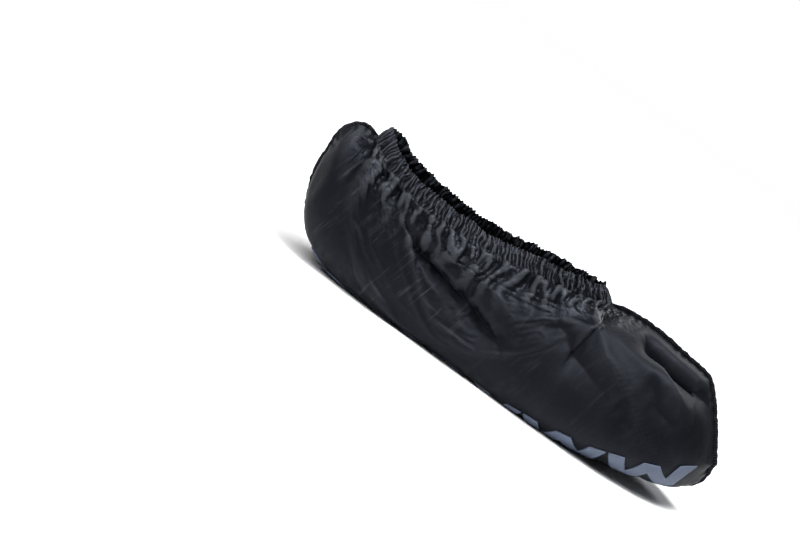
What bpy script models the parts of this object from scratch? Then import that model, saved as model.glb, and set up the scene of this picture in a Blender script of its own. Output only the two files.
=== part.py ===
"""A non-skid overshoe as it is worn: two side panels of coated nonwoven cloth, joined by one centre seam that
runs over the toe, along the sole and up the heel, a gathered elastic hem round the opening, and a zigzag tread.

Metres, +Z up, toe towards +X. The origin is on the floor, under the middle of the overshoe.
"""

import math
from collections import namedtuple

import bmesh
import bpy
import numpy as np
from mathutils import Vector

# Overall sizes
LENGTH = 0.3385
HEIGHT = 0.105
HALF_WIDTH = 0.065

# Cloth and clearances
CLOTH = 0.0012
GAP = 0.0003
PANEL_SPACE = 0.0010

# Opening, measured forwards from the back of the heel
MOUTH_BACK = 0.0240
MOUTH_FRONT = 0.2190
MOUTH_HALF_WIDTH = 0.040
MOUTH_SQUARENESS = 2.3
MOUTH_TAPER = 0.12

# Gathered hem: the cloth folded over its elastic
HEM_TALL = 0.0110
HEM_THICK = 0.0036
HEM_CLEAR = 0.0006
HEM_RUFFLE = 0.0013
HEM_RUFFLES = 46
HEM_RUFFLE_DRIFT = 0.8
HEM_RUFFLE_DRIFT_WAVES = 5
HEM_UNEVEN = 0.10
HEM_UNEVEN_WAVES = 35
HEM_LEAN_SIDE = math.radians(24)
HEM_LEAN_HEEL = math.radians(20)
HEM_LEAN_TOE = math.radians(58)

# Gathers that fan down from the hem
GATHER_DEPTH = 0.0026
GATHERS = 8
GATHER_REACH = 0.45
GATHER_WANDER = 0.35
GATHER_WANDER_WAVES = 1.4
GATHER_FULL_FROM = 0.97

# Centre seam, a low band under the sole and a narrow fin elsewhere
SEAM_BAND = 0.0090
SEAM_FIN = 0.0030
SEAM_FIN_TALL = 0.0034
SEAM_FIN_FROM = 0.0010
SEAM_FIN_TO = 0.0220
SEAM_STOP = 0.0040
SEAM_HOLD = 0.0100

# Tread printed on the sole: zigzag units in two rows on each panel, which fill the same share of every length
TREAD_THICK = 0.0010
TREAD_PITCH = 0.0898 * LENGTH
TREAD_ROW_TALL = 0.0215
TREAD_ROW_SPACE = 0.0036
TREAD_FIRST_ROW = 0.0095
TREAD_STROKE = 0.0110
TREAD_SPLIT = 0.0018
TREAD_HEEL_START = 0.0886 * LENGTH
TREAD_UNITS = 5
TREAD_STEPS = 2
TREAD_FLATNESS = math.radians(3)

# How far along the folds of one panel are from those of the other, as a share of LENGTH
RIGHT_SHIFT = 0.0
LEFT_SHIFT = 0.03

# Height of the cloth's underside where it is pressed flat, and how square the lower half of each section is
SOLE_Z = GAP + TREAD_THICK
SOLE_SQUARENESS = 3.2

# How far the side rises straight and how far the cloth runs straight to the hem, as shares of the way between
SIDE_PULL = 0.50
TOP_PULL = 0.42

# Grid of each panel: cells over the closed heel, along the opening, over the closed toe, and across, where
# ACROSS gives the way up from the centre of the sole at which each group of cells ends, and how many it has.
# Below STRAIGHT_ROWS_TO each row keeps its place along the sole, and from FREE_CUTS_FROM up each cell is cut in
# two along whichever diagonal suits the folds.
HEEL_CELLS = 5
MOUTH_CELLS = 32
TOE_CELLS = 19
ACROSS = [(0.20, 2), (0.40, 4), (0.80, 6), (1.00, 3)]
STRAIGHT_ROWS_TO = 0.20
FREE_CUTS_FROM = 0.55
HEM_STEPS = 2
HEM_CORNERS = 6
SECTION_POINTS = 40
FINE_STEPS = 400

# How long the whole way up is, as a share of LENGTH, when the distance to a fold is judged
UP_TO_AT = 0.42

# Cross-sections. at is a share of LENGTH from the heel. bottom, widest and top are shares of HEIGHT. wide and
# spread are shares of HALF_WIDTH and of the tread's full width. lean is the slope at the top, in degrees. Where
# bottom is below the floor, the cloth is pressed flat on it.
Section = namedtuple("Section", "at bottom widest top wide lean spread")
SECTIONS = [
    Section(at=0.000, bottom=0.600, widest=0.660, top=0.735, wide=0.00, lean=0, spread=0.40),
    Section(at=0.012, bottom=0.385, widest=0.560, top=0.865, wide=0.30, lean=0, spread=0.42),
    Section(at=0.035, bottom=0.235, widest=0.440, top=0.915, wide=0.50, lean=0, spread=0.46),
    Section(at=0.075, bottom=0.107, widest=0.350, top=0.905, wide=0.64, lean=8, spread=0.52),
    Section(at=0.140, bottom=0.018, widest=0.300, top=0.805, wide=0.72, lean=52, spread=0.58),
    Section(at=0.240, bottom=-0.034, widest=0.275, top=0.745, wide=0.755, lean=60, spread=0.64),
    Section(at=0.360, bottom=-0.034, widest=0.260, top=0.735, wide=0.775, lean=60, spread=0.70),
    Section(at=0.480, bottom=-0.034, widest=0.250, top=0.790, wide=0.850, lean=56, spread=0.80),
    Section(at=0.590, bottom=-0.034, widest=0.250, top=0.838, wide=0.950, lean=40, spread=0.97),
    Section(at=0.655, bottom=-0.034, widest=0.255, top=0.880, wide=0.990, lean=6, spread=1.07),
    Section(at=0.740, bottom=-0.005, widest=0.265, top=0.905, wide=1.000, lean=0, spread=1.15),
    Section(at=0.820, bottom=0.042, widest=0.285, top=0.877, wide=0.945, lean=0, spread=1.14),
    Section(at=0.892, bottom=0.088, widest=0.310, top=0.842, wide=0.790, lean=0, spread=1.03),
    Section(at=0.912, bottom=0.105, widest=0.320, top=0.785, wide=0.730, lean=0, spread=0.985),
    Section(at=0.950, bottom=0.145, widest=0.335, top=0.640, wide=0.560, lean=0, spread=0.865),
    Section(at=0.985, bottom=0.215, widest=0.350, top=0.470, wide=0.310, lean=0, spread=0.63),
    Section(at=1.000, bottom=0.310, widest=0.355, top=0.385, wide=0.00, lean=0, spread=0.52),
]

# Main folds of each panel. path goes through places given as shares of LENGTH from the heel and of the way up
# from the centre of the sole to the hem. depth is in shares of HALF_WIDTH, negative for a ridge, and half_width
# in shares of LENGTH.
Fold = namedtuple("Fold", "path depth half_width")
FOLDS = [
    Fold(path=[(0.070, 0.97), (0.070, 0.55)], depth=0.080, half_width=0.026),
    Fold(path=[(0.115, 0.95), (0.115, 0.55)], depth=-0.050, half_width=0.024),
    Fold(path=[(0.160, 0.92), (0.150, 0.50)], depth=0.065, half_width=0.026),
    Fold(path=[(0.225, 0.93), (0.306, 0.79), (0.418, 0.69), (0.500, 0.53)], depth=0.130, half_width=0.033),
    Fold(path=[(0.285, 0.97), (0.375, 0.86), (0.480, 0.77), (0.570, 0.60)], depth=-0.070, half_width=0.030),
    Fold(path=[(0.560, 0.86), (0.680, 0.68), (0.760, 0.60)], depth=-0.060, half_width=0.030),
    Fold(path=[(0.565, 0.76), (0.667, 0.55), (0.806, 0.47)], depth=0.100, half_width=0.030),
    Fold(path=[(0.620, 0.95), (0.655, 0.76)], depth=0.080, half_width=0.026),
    Fold(path=[(0.715, 0.93), (0.800, 0.88), (0.900, 0.87)], depth=0.160, half_width=0.032),
    Fold(path=[(0.720, 0.82), (0.800, 0.75), (0.845, 0.68), (0.920, 0.64)], depth=-0.085, half_width=0.032),
    Fold(path=[(0.760, 0.68), (0.830, 0.54), (0.900, 0.50)], depth=0.070, half_width=0.028),
]

CLOTH_COLOUR = (0.016, 0.018, 0.021)
SEAM_COLOUR = (0.020, 0.021, 0.024)
TREAD_COLOUR = (0.150, 0.185, 0.265)


def smooth_step(value, low, high):
    """0 below low and 1 above high, with a smooth rise between them."""
    share = min(1.0, max(0.0, (value - low) / (high - low)))
    return share * share * (3.0 - 2.0 * share)


def station(at):
    """Turns a share of the length into an angle, which makes the rounded ends round."""
    return math.acos(max(-1.0, min(1.0, 1.0 - 2.0 * at)))


def monotone_slopes(xs, ys):
    """Slopes of a smooth curve through a table, flat at its peaks, so that it never overshoots."""
    steps = np.diff(ys) / np.diff(xs)
    slopes = np.empty(len(xs))
    slopes[0], slopes[-1] = steps[0], steps[-1]
    for i in range(1, len(xs) - 1):
        same_way = steps[i - 1] * steps[i] > 0
        slopes[i] = 2.0 * steps[i - 1] * steps[i] / (steps[i - 1] + steps[i]) if same_way else 0.0
    return slopes


STATIONS = np.array([station(row.at) for row in SECTIONS])
COLUMNS = {name: np.array([getattr(row, name) for row in SECTIONS]) for name in Section._fields[1:]}
SLOPES = {name: monotone_slopes(STATIONS, values) for name, values in COLUMNS.items()}


def read_column(name, at):
    """One column of the section table at a share of the length, on a smooth curve through its rows."""
    where = station(at)
    i = int(np.clip(np.searchsorted(STATIONS, where) - 1, 0, len(STATIONS) - 2))
    wide = STATIONS[i + 1] - STATIONS[i]
    h = (where - STATIONS[i]) / wide
    values, slopes = COLUMNS[name], SLOPES[name]
    return (
        values[i] * (1 + 2 * h) * (1 - h) ** 2
        + slopes[i] * wide * h * (1 - h) ** 2
        + values[i + 1] * h * h * (3 - 2 * h)
        + slopes[i + 1] * wide * h * h * (h - 1)
    )


def mouth_half_width(at):
    """Half the width of the opening: an oval, a little fuller towards the heel."""
    middle = (MOUTH_FRONT + MOUTH_BACK) / 2
    reach = (MOUTH_FRONT - MOUTH_BACK) / 2
    along = (at * LENGTH - middle) / reach
    if abs(along) >= 1.0:
        return 0.0
    oval = (1.0 - abs(along) ** MOUTH_SQUARENESS) ** (1.0 / MOUTH_SQUARENESS)
    return MOUTH_HALF_WIDTH * oval * (1.0 - MOUTH_TAPER * along)


def half_section(at):
    """The half cross-section's points (y, z), from the centre of the sole round the side to the top."""
    wide = HALF_WIDTH * read_column("wide", at)
    bottom = HEIGHT * read_column("bottom", at)
    widest = HEIGHT * read_column("widest", at)
    top = HEIGHT * read_column("top", at)
    mouth = mouth_half_width(at)
    lean = math.radians(read_column("lean", at))
    turn = np.linspace(-math.pi / 2, 0.0, SECTION_POINTS)
    lower_y = wide * np.abs(np.cos(turn)) ** (2 / SOLE_SQUARENESS)
    lower_z = widest - (widest - bottom) * np.abs(np.sin(turn)) ** (2 / SOLE_SQUARENESS)
    side, rim = np.array([wide, widest]), np.array([mouth, top])
    straight = np.linalg.norm(rim - side)
    corners = [
        side,
        side + SIDE_PULL * (top - widest) * np.array([0.0, 1.0]),
        rim + TOP_PULL * straight * np.array([math.cos(lean), -math.sin(lean)]),
        rim,
    ]
    share = np.linspace(0.0, 1.0, SECTION_POINTS)[1:, None]
    upper = (
        corners[0] * (1 - share) ** 3
        + corners[1] * 3 * share * (1 - share) ** 2
        + corners[2] * 3 * share**2 * (1 - share)
        + corners[3] * share**3
    )
    y = np.concatenate([lower_y, upper[:, 0]])
    z = np.concatenate([lower_z, upper[:, 1]])
    return y + PANEL_SPACE / 2, np.maximum(z, SOLE_Z)


def girths(at):
    """The half cross-section's points, with the distance along it of each."""
    y, z = half_section(at)
    run = np.concatenate([[0.0], np.cumsum(np.hypot(np.diff(y), np.diff(z)))])
    return y, z, run


def plain_point(at, up):
    """The cloth before its folds, as (x, y, z). up is 0 at the centre of the sole and 1 at the top."""
    at = min(1.0, max(0.0, at))
    y, z, run = girths(at)
    along = up * run[-1]
    return np.array([(at - 0.5) * LENGTH, np.interp(along, run, y), np.interp(along, run, z)])


def outward(at, up):
    """The unit normal of the plain cloth, pointing out of the overshoe."""
    step_at, step_up = 0.002, 0.01
    low_at, high_at = max(0.0, at - step_at), min(1.0, at + step_at)
    low_up, high_up = max(0.0, up - step_up), min(1.0, up + step_up)
    lengthwise = plain_point(high_at, up) - plain_point(low_at, up)
    crosswise = plain_point(at, high_up) - plain_point(at, low_up)
    normal = np.cross(crosswise, lengthwise)
    size = np.linalg.norm(normal)
    if size < 1e-12:
        return np.array([math.copysign(1.0, at - 0.5), 0.0, 0.0])
    return normal / size


def nearest_on_path(at, up, path, shift):
    """How far a place is from a path on the cloth, as a share of LENGTH, and how far along the path it is."""
    best = (math.inf, 0.0)
    for k, ((start_at, start_up), (end_at, end_up)) in enumerate(zip(path, path[1:])):
        # A step across the section is shorter than the same step along the length
        step = np.array([end_at - start_at, (end_up - start_up) * UP_TO_AT])
        away = np.array([at - start_at - shift, (up - start_up) * UP_TO_AT])
        share = float(np.clip(np.dot(away, step) / np.dot(step, step), 0.0, 1.0))
        best = min(best, (math.hypot(*(away - share * step)), (k + share) / (len(path) - 1)))
    return best


def fold_offset(at, up, shift):
    """How far the folds move the cloth outwards. shift slides them along, so that the two sides differ."""
    total = 0.0
    for fold in FOLDS:
        distance, share = nearest_on_path(at, up, fold.path, shift)
        taper = smooth_step(share, -0.10, 0.15) * (1.0 - smooth_step(share, 0.70, 1.10))
        total -= fold.depth * HALF_WIDTH * math.exp(-((distance / fold.half_width) ** 2)) * taper
    return total


def gather_offset(at, up, shift):
    """The gathers under the hem, which fade out down the side and at the two ends of the opening."""
    span = (MOUTH_FRONT - MOUTH_BACK) / LENGTH
    along = (at - MOUTH_BACK / LENGTH) / span
    if not 0.0 < along < 1.0:
        return 0.0
    ends = math.sin(math.pi * along) ** 0.5
    # Unequal spacing, as cloth gathers by itself
    wander = GATHER_WANDER * math.sin(2.0 * math.pi * (GATHER_WANDER_WAVES * (along + shift)))
    fade = smooth_step(up, 1.0 - GATHER_REACH, GATHER_FULL_FROM)
    return GATHER_DEPTH * ends * fade * math.sin(2.0 * math.pi * (GATHERS * along + wander))


def cloth_point(at, up, shift):
    """The cloth's outer face with its folds, for the side towards +Y."""
    plain = plain_point(at, up)
    # The cloth is held in the middle plane by the seam
    free = smooth_step(plain[1], PANEL_SPACE / 2, SEAM_HOLD)
    offset = fold_offset(at, up, shift) + gather_offset(at, up, shift)
    point = plain + outward(at, up) * offset * free
    return np.array([point[0], max(point[1], PANEL_SPACE / 2), max(point[2], SOLE_Z)])


def even_places(low, high, cells, point):
    """Shares of LENGTH from low to high, evenly spaced along the curve that point gives."""
    fine = [low + (high - low) * (1 - math.cos(math.pi * i / FINE_STEPS)) / 2 for i in range(FINE_STEPS + 1)]
    curve = np.array([point(at) for at in fine])
    run = np.concatenate([[0.0], np.cumsum(np.linalg.norm(np.diff(curve, axis=0), axis=1))])
    return [float(np.interp(run[-1] * i / cells, run, fine)) for i in range(cells + 1)]


def widest_point(at):
    """The point of the plain cloth that is farthest out to the side."""
    return (at * LENGTH, HALF_WIDTH * read_column("wide", at), HEIGHT * read_column("widest", at))


def top_point(at):
    """The point of the plain cloth on the edge of the opening or, where it is closed, on the top seam."""
    return (at * LENGTH, mouth_half_width(at), HEIGHT * read_column("top", at))


def heel_to_toe_places():
    """Where each crosswise row of cloth crosses the sole and the hem or top, as shares of LENGTH."""
    back, front = MOUTH_BACK / LENGTH, MOUTH_FRONT / LENGTH
    sole = even_places(0.0, 1.0, HEEL_CELLS + MOUTH_CELLS + TOE_CELLS, widest_point)
    top = even_places(0.0, back, HEEL_CELLS, top_point)[:-1]
    top += even_places(back, front, MOUTH_CELLS, top_point)[:-1]
    top += even_places(front, 1.0, TOE_CELLS, top_point)
    return list(zip(sole, top))


def ways_up():
    """The way up of each lengthwise line of the grid, 0 at the centre of the sole and 1 at the top."""
    ups = [0.0]
    for end, cells in ACROSS:
        start = ups[-1]
        ups += [start + (end - start) * (k + 1) / cells for k in range(cells)]
    return ups


def place_in_row(row, up):
    """The share of LENGTH at which a crosswise row of cloth is, this far up."""
    sole_at, top_at = row
    return sole_at + (top_at - sole_at) * smooth_step(up, STRAIGHT_ROWS_TO, 1.0)


class PanelGrid:
    """The outer face of one panel as a grid of points and normals, for the side towards +Y."""

    def __init__(self, shift):
        self.rows = heel_to_toe_places()
        self.ups = ways_up()
        self.points = np.array(
            [[cloth_point(place_in_row(row, up), up, shift) for up in self.ups] for row in self.rows]
        )
        p = self.points
        corners = (p[:-1, :-1], p[1:, :-1], p[1:, 1:], p[:-1, 1:])
        first = np.cross(corners[2] - corners[0], corners[1] - corners[0])
        second = np.cross(corners[3] - corners[0], corners[2] - corners[0])
        total = np.zeros_like(p)
        total[:-1, :-1] += first + second
        total[1:, :-1] += first
        total[1:, 1:] += first + second
        total[:-1, 1:] += second
        # The other panel carries the surface on, so that it meets the middle plane squarely
        total[p[:, :, 1] < PANEL_SPACE / 2 + 1e-6, 1] = 0.0
        size = np.linalg.norm(total, axis=2, keepdims=True)
        self.normals = total / np.maximum(size, 1e-12)
        rows, columns = range(len(self.rows) - 1), range(len(self.ups) - 1)
        self.uphill = [[self.cut_uphill(i, j, shift) for j in columns] for i in rows]

    def cut_uphill(self, i, j, shift):
        """Whether a cell is cut from its lowest corner to its highest, as all are where the tread lies.

        Above the tread it is cut along the diagonal that stays nearer the cloth, so that folds run straight.
        """
        if self.ups[j] < FREE_CUTS_FROM:
            return True
        corners = self.points[i : i + 2, j : j + 2]
        up = (self.ups[j] + self.ups[j + 1]) / 2
        at = (place_in_row(self.rows[i], up) + place_in_row(self.rows[i + 1], up)) / 2
        middle = cloth_point(at, up, shift)
        uphill = np.linalg.norm((corners[0, 0] + corners[1, 1]) / 2 - middle)
        downhill = np.linalg.norm((corners[1, 0] + corners[0, 1]) / 2 - middle)
        return bool(uphill <= downhill)

    def index_of(self, at, up):
        """The grid place (row, column), in fractions of a cell, of a share of LENGTH and a way up."""
        column = float(np.interp(up, self.ups, range(len(self.ups))))
        ats = [place_in_row(row, up) for row in self.rows]
        return float(np.interp(at, ats, range(len(ats)))), column

    def point(self, row, column, lift):
        """The point this far above the flat triangle of the grid that the place is in, below the free cuts."""
        i = min(int(row), len(self.rows) - 2)
        j = min(int(column), len(self.ups) - 2)
        a, b = row - i, column - j
        middle = (i + 1, j) if a >= b else (i, j + 1)
        shares = (((i, j), 1 - max(a, b)), (middle, abs(a - b)), ((i + 1, j + 1), min(a, b)))
        made = sum(share * (self.points[place] + lift * self.normals[place]) for place, share in shares)
        return np.array([made[0], made[1], max(made[2], SOLE_Z - lift)])


def collection_for_parts():
    """Empties the scene and returns the collection that holds the overshoe."""
    for obj in list(bpy.data.objects):
        bpy.data.objects.remove(obj)
    parts = bpy.data.collections.new("overshoe")
    bpy.context.scene.collection.children.link(parts)
    return parts


def material(name, colour, roughness):
    """A non-metal Principled material."""
    made = bpy.data.materials.new(name)
    made.use_nodes = True
    shader = made.node_tree.nodes["Principled BSDF"]
    shader.inputs["Base Color"].default_value = (*colour, 1.0)
    shader.inputs["Roughness"].default_value = roughness
    shader.inputs["Metallic"].default_value = 0.0
    return made


def add_part(name, mesh, finish, parts):
    """Puts a bmesh into a named object of its own, smooth but for its real edges."""
    bmesh.ops.remove_doubles(mesh, verts=mesh.verts, dist=1e-6)
    bmesh.ops.recalc_face_normals(mesh, faces=mesh.faces)
    data = bpy.data.meshes.new(name)
    mesh.to_mesh(data)
    mesh.free()
    data.shade_smooth()
    data.set_sharp_from_angle(angle=math.radians(50))
    data.materials.append(finish)
    made = bpy.data.objects.new(name, data)
    parts.objects.link(made)
    return made


def add_side_panel(name, side, grid, finish, parts):
    """One side of the overshoe. side is 1 for the panel towards +Y and -1 for the one towards -Y."""
    mesh = bmesh.new()
    inner = grid.points - grid.normals * CLOTH
    inner[:, :, 1] = np.maximum(inner[:, :, 1], PANEL_SPACE / 2)
    outside = [[mesh.verts.new((x, side * y, z)) for x, y, z in row] for row in grid.points]
    inside = [[mesh.verts.new((x, side * y, z)) for x, y, z in row] for row in inner]
    last_row, last_column = len(outside) - 1, len(outside[0]) - 1
    for i in range(last_row):
        for j in range(last_column):
            halves = (((i, j), (i + 1, j), (i + 1, j + 1)), ((i, j), (i + 1, j + 1), (i, j + 1)))
            if not grid.uphill[i][j]:
                halves = (((i, j), (i + 1, j), (i, j + 1)), ((i + 1, j), (i + 1, j + 1), (i, j + 1)))
            for corners in halves:
                mesh.faces.new([outside[a][b] for a, b in corners])
                mesh.faces.new([inside[a][b] for a, b in reversed(corners)])
    edge = [(i, 0) for i in range(last_row)] + [(last_row, j) for j in range(last_column)]
    edge += [(i, last_column) for i in range(last_row, 0, -1)] + [(0, j) for j in range(last_column, 0, -1)]
    for (a, b), (c, d) in zip(edge, edge[1:] + edge[:1]):
        mesh.faces.new([outside[a][b], inside[a][b], inside[c][d], outside[c][d]])
    return add_part(name, mesh, finish, parts)


def loop_loft(name, rings, closed, finish, parts):
    """A solid through rings of points, closed on itself or capped at both ends."""
    mesh = bmesh.new()
    made = [[mesh.verts.new(point) for point in ring] for ring in rings]
    pairs = list(zip(made, made[1:])) + ([(made[-1], made[0])] if closed else [])
    for first, second in pairs:
        count = len(first)
        for k in range(count):
            following = (k + 1) % count
            mesh.faces.new([first[k], first[following], second[following], second[k]])
    if not closed:
        mesh.faces.new(made[0])
        mesh.faces.new(made[-1][::-1])
    return add_part(name, mesh, finish, parts)


def rim_points():
    """The edge of the opening, from the heel along -Y to the toe and back along +Y.

    There are HEM_STEPS points to each cell of the panels, in a straight line between the cell's corners, so
    that the hem follows the cloth below it exactly.
    """
    mouth = [top_at for _, top_at in heel_to_toe_places()][HEEL_CELLS : HEEL_CELLS + MOUTH_CELLS + 1]
    corners = []
    for side, shift, ats in ((-1, RIGHT_SHIFT, mouth[:-1]), (1, LEFT_SHIFT, mouth[:0:-1])):
        for at in ats:
            x, y, z = cloth_point(at, 1.0, shift)
            corners.append(np.array([x, side * (y - PANEL_SPACE / 2), z]))
    points = []
    for this, following in zip(corners, corners[1:] + corners[:1]):
        points += [this + (following - this) * k / HEM_STEPS for k in range(HEM_STEPS)]
    return points


def add_hem(finish, parts):
    """The gathered hem: a flattened roll of cloth that stands on the edge of both panels."""
    points = rim_points()
    count = len(points)
    centre = sum(points) / count
    rings = []
    for i, point in enumerate(points):
        along = points[(i + 3) % count] - points[i - 3]
        along /= np.linalg.norm(along)
        inwards = centre - point
        inwards[2] = 0.0
        inwards /= np.linalg.norm(inwards)
        forwards = smooth_step(point[0], -LENGTH / 2, LENGTH / 5)
        end_on = along[1] ** 2
        end_lean = HEM_LEAN_HEEL + forwards * (HEM_LEAN_TOE - HEM_LEAN_HEEL)
        lean = HEM_LEAN_SIDE + end_on * (end_lean - HEM_LEAN_SIDE)
        upright = inwards * math.sin(lean) + np.array([0.0, 0.0, math.cos(lean)])
        upright -= along * np.dot(upright, along)
        upright /= np.linalg.norm(upright)
        thick_way = np.cross(along, upright)
        round_share = 2.0 * math.pi * i / count
        drift = HEM_RUFFLE_DRIFT * math.sin(HEM_RUFFLE_DRIFT_WAVES * round_share)
        ruffle = math.sin(HEM_RUFFLES * round_share + drift)
        tall = HEM_TALL * (1.0 + HEM_UNEVEN * math.cos(HEM_UNEVEN_WAVES * round_share))
        middle = point + upright * (tall / 2 + HEM_CLEAR) + thick_way * HEM_RUFFLE * ruffle
        ring = []
        for k in range(HEM_CORNERS):
            turn = 2.0 * math.pi * (k + 0.5) / HEM_CORNERS
            across = thick_way * HEM_THICK / 2 * math.cos(turn)
            ring.append(middle + across + upright * tall / 2 * math.sin(turn))
        rings.append(ring)
    return loop_loft("elastic_hem", rings, True, finish, parts)


def seam_path():
    """The seam's line in the middle plane: forwards over the toe, back along the sole, and up the heel."""
    places = heel_to_toe_places()
    ends = [(top_at, 1.0) for _, top_at in places]
    line = ends[HEEL_CELLS + MOUTH_CELLS :] + [(sole_at, 0.0) for sole_at, _ in reversed(places)]
    line += ends[: HEEL_CELLS + 1]
    path = np.array([plain_point(at, up) for at, up in line])[:, [0, 2]]
    run = np.concatenate([[0.0], np.cumsum(np.linalg.norm(np.diff(path, axis=0), axis=1))])
    # It stops short of the hem at both ends
    first, last = SEAM_STOP, run[-1] - SEAM_STOP
    kept = np.concatenate([[first], run[(run > first + GAP) & (run < last - GAP)], [last]])
    return np.column_stack([np.interp(kept, run, path[:, 0]), np.interp(kept, run, path[:, 1])])


def add_centre_seam(finish, parts):
    """The stitched seam: a flat band where it is trodden on and a fin over the toe and the heel."""
    path = seam_path()
    rings = []
    for i, (x, z) in enumerate(path):
        before, after = path[max(0, i - 1)], path[min(len(path) - 1, i + 1)]
        run_x, run_z = (after - before) / np.linalg.norm(after - before)
        # The path runs forwards over the toe and backwards under the sole, so this points out of the overshoe
        out = np.array([-run_z, 0.0, run_x])
        fin = smooth_step(z - SOLE_Z, SEAM_FIN_FROM, SEAM_FIN_TO)
        half = (SEAM_BAND + (SEAM_FIN - SEAM_BAND) * fin) / 2
        tall = TREAD_THICK + (SEAM_FIN_TALL - TREAD_THICK) * fin
        base = np.array([x, 0.0, z]) + out * GAP
        rings.append(
            [
                base + np.array([0.0, -half, 0.0]),
                base + np.array([0.0, half, 0.0]),
                base + np.array([0.0, half, 0.0]) + out * tall,
                base + np.array([0.0, -half, 0.0]) + out * tall,
            ]
        )
    return loop_loft("centre_seam", rings, False, finish, parts)


def tread_path():
    """The distance along the centre of the sole, and the share of LENGTH that each distance is at."""
    ats = np.array([(1 - math.cos(math.pi * i / FINE_STEPS)) / 2 for i in range(FINE_STEPS + 1)])
    line = np.array([plain_point(at, 0.0) for at in ats])
    run = np.concatenate([[0.0], np.cumsum(np.linalg.norm(np.diff(line, axis=0), axis=1))])
    start = float(np.interp(TREAD_HEEL_START / LENGTH, ats, run))
    return run - start, ats


def zigzag_edges(row_from, row_to):
    """Both edges of one zigzag unit, as pairs of places (distance along, distance from the seam).

    The unit has four strokes of one width. It starts and ends at row_from, where it is split from its
    neighbours. Its peak in the middle is also at row_from, and its two peaks at row_to are joined.
    """
    away = row_to - row_from
    quarter, width, split = TREAD_PITCH / 2, TREAD_STROKE, TREAD_SPLIT / 2
    half = width / 2
    # Where the inner edges of two strokes meet, as a share of the row's height
    end_share = (2 * quarter - 3 * half - split) / (2 * quarter - half - split)
    end_notch = (2 * quarter - half - quarter * end_share, row_from + away * end_share)
    other_notch = (4 * quarter - end_notch[0], end_notch[1])
    middle_notch = (2 * quarter, row_from + away * half / quarter)
    return [
        ((split, row_from), (split + width, row_from)),
        ((quarter - half, row_to), end_notch),
        ((quarter + half, row_to), end_notch),
        (middle_notch, (2 * quarter - half, row_from)),
        (middle_notch, (2 * quarter + half, row_from)),
        ((3 * quarter - half, row_to), other_notch),
        ((3 * quarter + half, row_to), other_notch),
        ((4 * quarter - split, row_from), (4 * quarter - split - width, row_from)),
    ]


def add_tread_unit(name, side, grid, start, row_from, row_to, path, finish, parts):
    """One zigzag of the tread, as thick as the print, on the flat facets of the panel."""
    runs, ats = path
    corners = zigzag_edges(row_from, row_to)
    strokes = []
    for (near_a, far_a), (near_b, far_b) in zip(corners, corners[1:]):
        steps = 1 if near_a == near_b or far_a == far_b else TREAD_STEPS
        for k in range(steps):
            shares = (k / steps, (k + 1) / steps)
            near = [np.array(near_a) + (np.array(near_b) - np.array(near_a)) * share for share in shares]
            far = [np.array(far_a) + (np.array(far_b) - np.array(far_a)) * share for share in shares]
            strokes.append((near[0], near[1], far[1], far[0]))

    # The strokes are first laid out on the grid's own rows and columns, and cut along them
    flat = bmesh.new()
    for stroke in strokes:
        verts = []
        for along, across in stroke:
            at = float(np.interp(start + along, runs, ats))
            up = across * read_column("spread", at) / girths(at)[2][-1]
            verts.append(flat.verts.new((*grid.index_of(at, up), 0.0)))
        flat.faces.new(verts)
    bmesh.ops.remove_doubles(flat, verts=flat.verts, dist=1e-5)
    for normal in (Vector((1, 0, 0)), Vector((0, 1, 0)), Vector((1, -1, 0))):
        heights = [vert.co.dot(normal) for vert in flat.verts]
        for line in range(math.ceil(min(heights)), math.floor(max(heights)) + 1):
            geometry = flat.verts[:] + flat.edges[:] + flat.faces[:]
            place = normal * line / normal.length_squared
            bmesh.ops.bisect_plane(flat, geom=geometry, dist=1e-5, plane_co=place, plane_no=normal)

    mesh = bmesh.new()
    sheets = []
    for lift in (GAP, GAP + TREAD_THICK):
        points = {}
        for vert in flat.verts:
            x, y, z = grid.point(vert.co.x, vert.co.y, lift)
            points[vert] = mesh.verts.new((x, side * y, z))
        sheets.append(points)
    under, over = sheets
    for face in flat.faces:
        mesh.faces.new([over[vert] for vert in face.verts])
        mesh.faces.new([under[vert] for vert in reversed(face.verts)])
    for edge in flat.edges:
        if edge.is_boundary:
            a, b = edge.verts
            mesh.faces.new([under[a], under[b], over[b], over[a]])
    flat.free()
    bmesh.ops.recalc_face_normals(mesh, faces=mesh.faces)
    bmesh.ops.dissolve_limit(mesh, angle_limit=TREAD_FLATNESS, verts=mesh.verts, edges=mesh.edges)
    return add_part(name, mesh, finish, parts)


def add_tread(side, side_name, grid, finish, parts):
    """Two rows of zigzags on one panel, mirrored about the narrow space between them."""
    path = tread_path()
    inner_end = TREAD_FIRST_ROW + TREAD_ROW_TALL
    outer_start = inner_end + TREAD_ROW_SPACE
    outer_end = outer_start + TREAD_ROW_TALL
    rows = {"inner": (TREAD_FIRST_ROW, inner_end), "outer": (outer_end, outer_start)}
    for row_name, (row_from, row_to) in rows.items():
        for i in range(TREAD_UNITS):
            name = f"tread_{side_name}_{row_name}_{i + 1}"
            add_tread_unit(name, side, grid, 2 * TREAD_PITCH * i, row_from, row_to, path, finish, parts)


def main():
    parts = collection_for_parts()
    cloth = material("coated nonwoven cloth", CLOTH_COLOUR, 0.45)
    seam = material("overlocked thread", SEAM_COLOUR, 0.80)
    print_coat = material("grip print", TREAD_COLOUR, 0.65)
    for side, side_name, shift in ((-1, "right", RIGHT_SHIFT), (1, "left", LEFT_SHIFT)):
        grid = PanelGrid(shift)
        add_side_panel(f"{side_name}_panel", side, grid, cloth, parts)
        add_tread(side, side_name, grid, print_coat, parts)
    add_hem(cloth, parts)
    add_centre_seam(seam, parts)


main()
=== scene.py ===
import math
from collections import namedtuple
from itertools import product

import bmesh
import bpy
import numpy as np
from mathutils import Matrix, Vector


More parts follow.
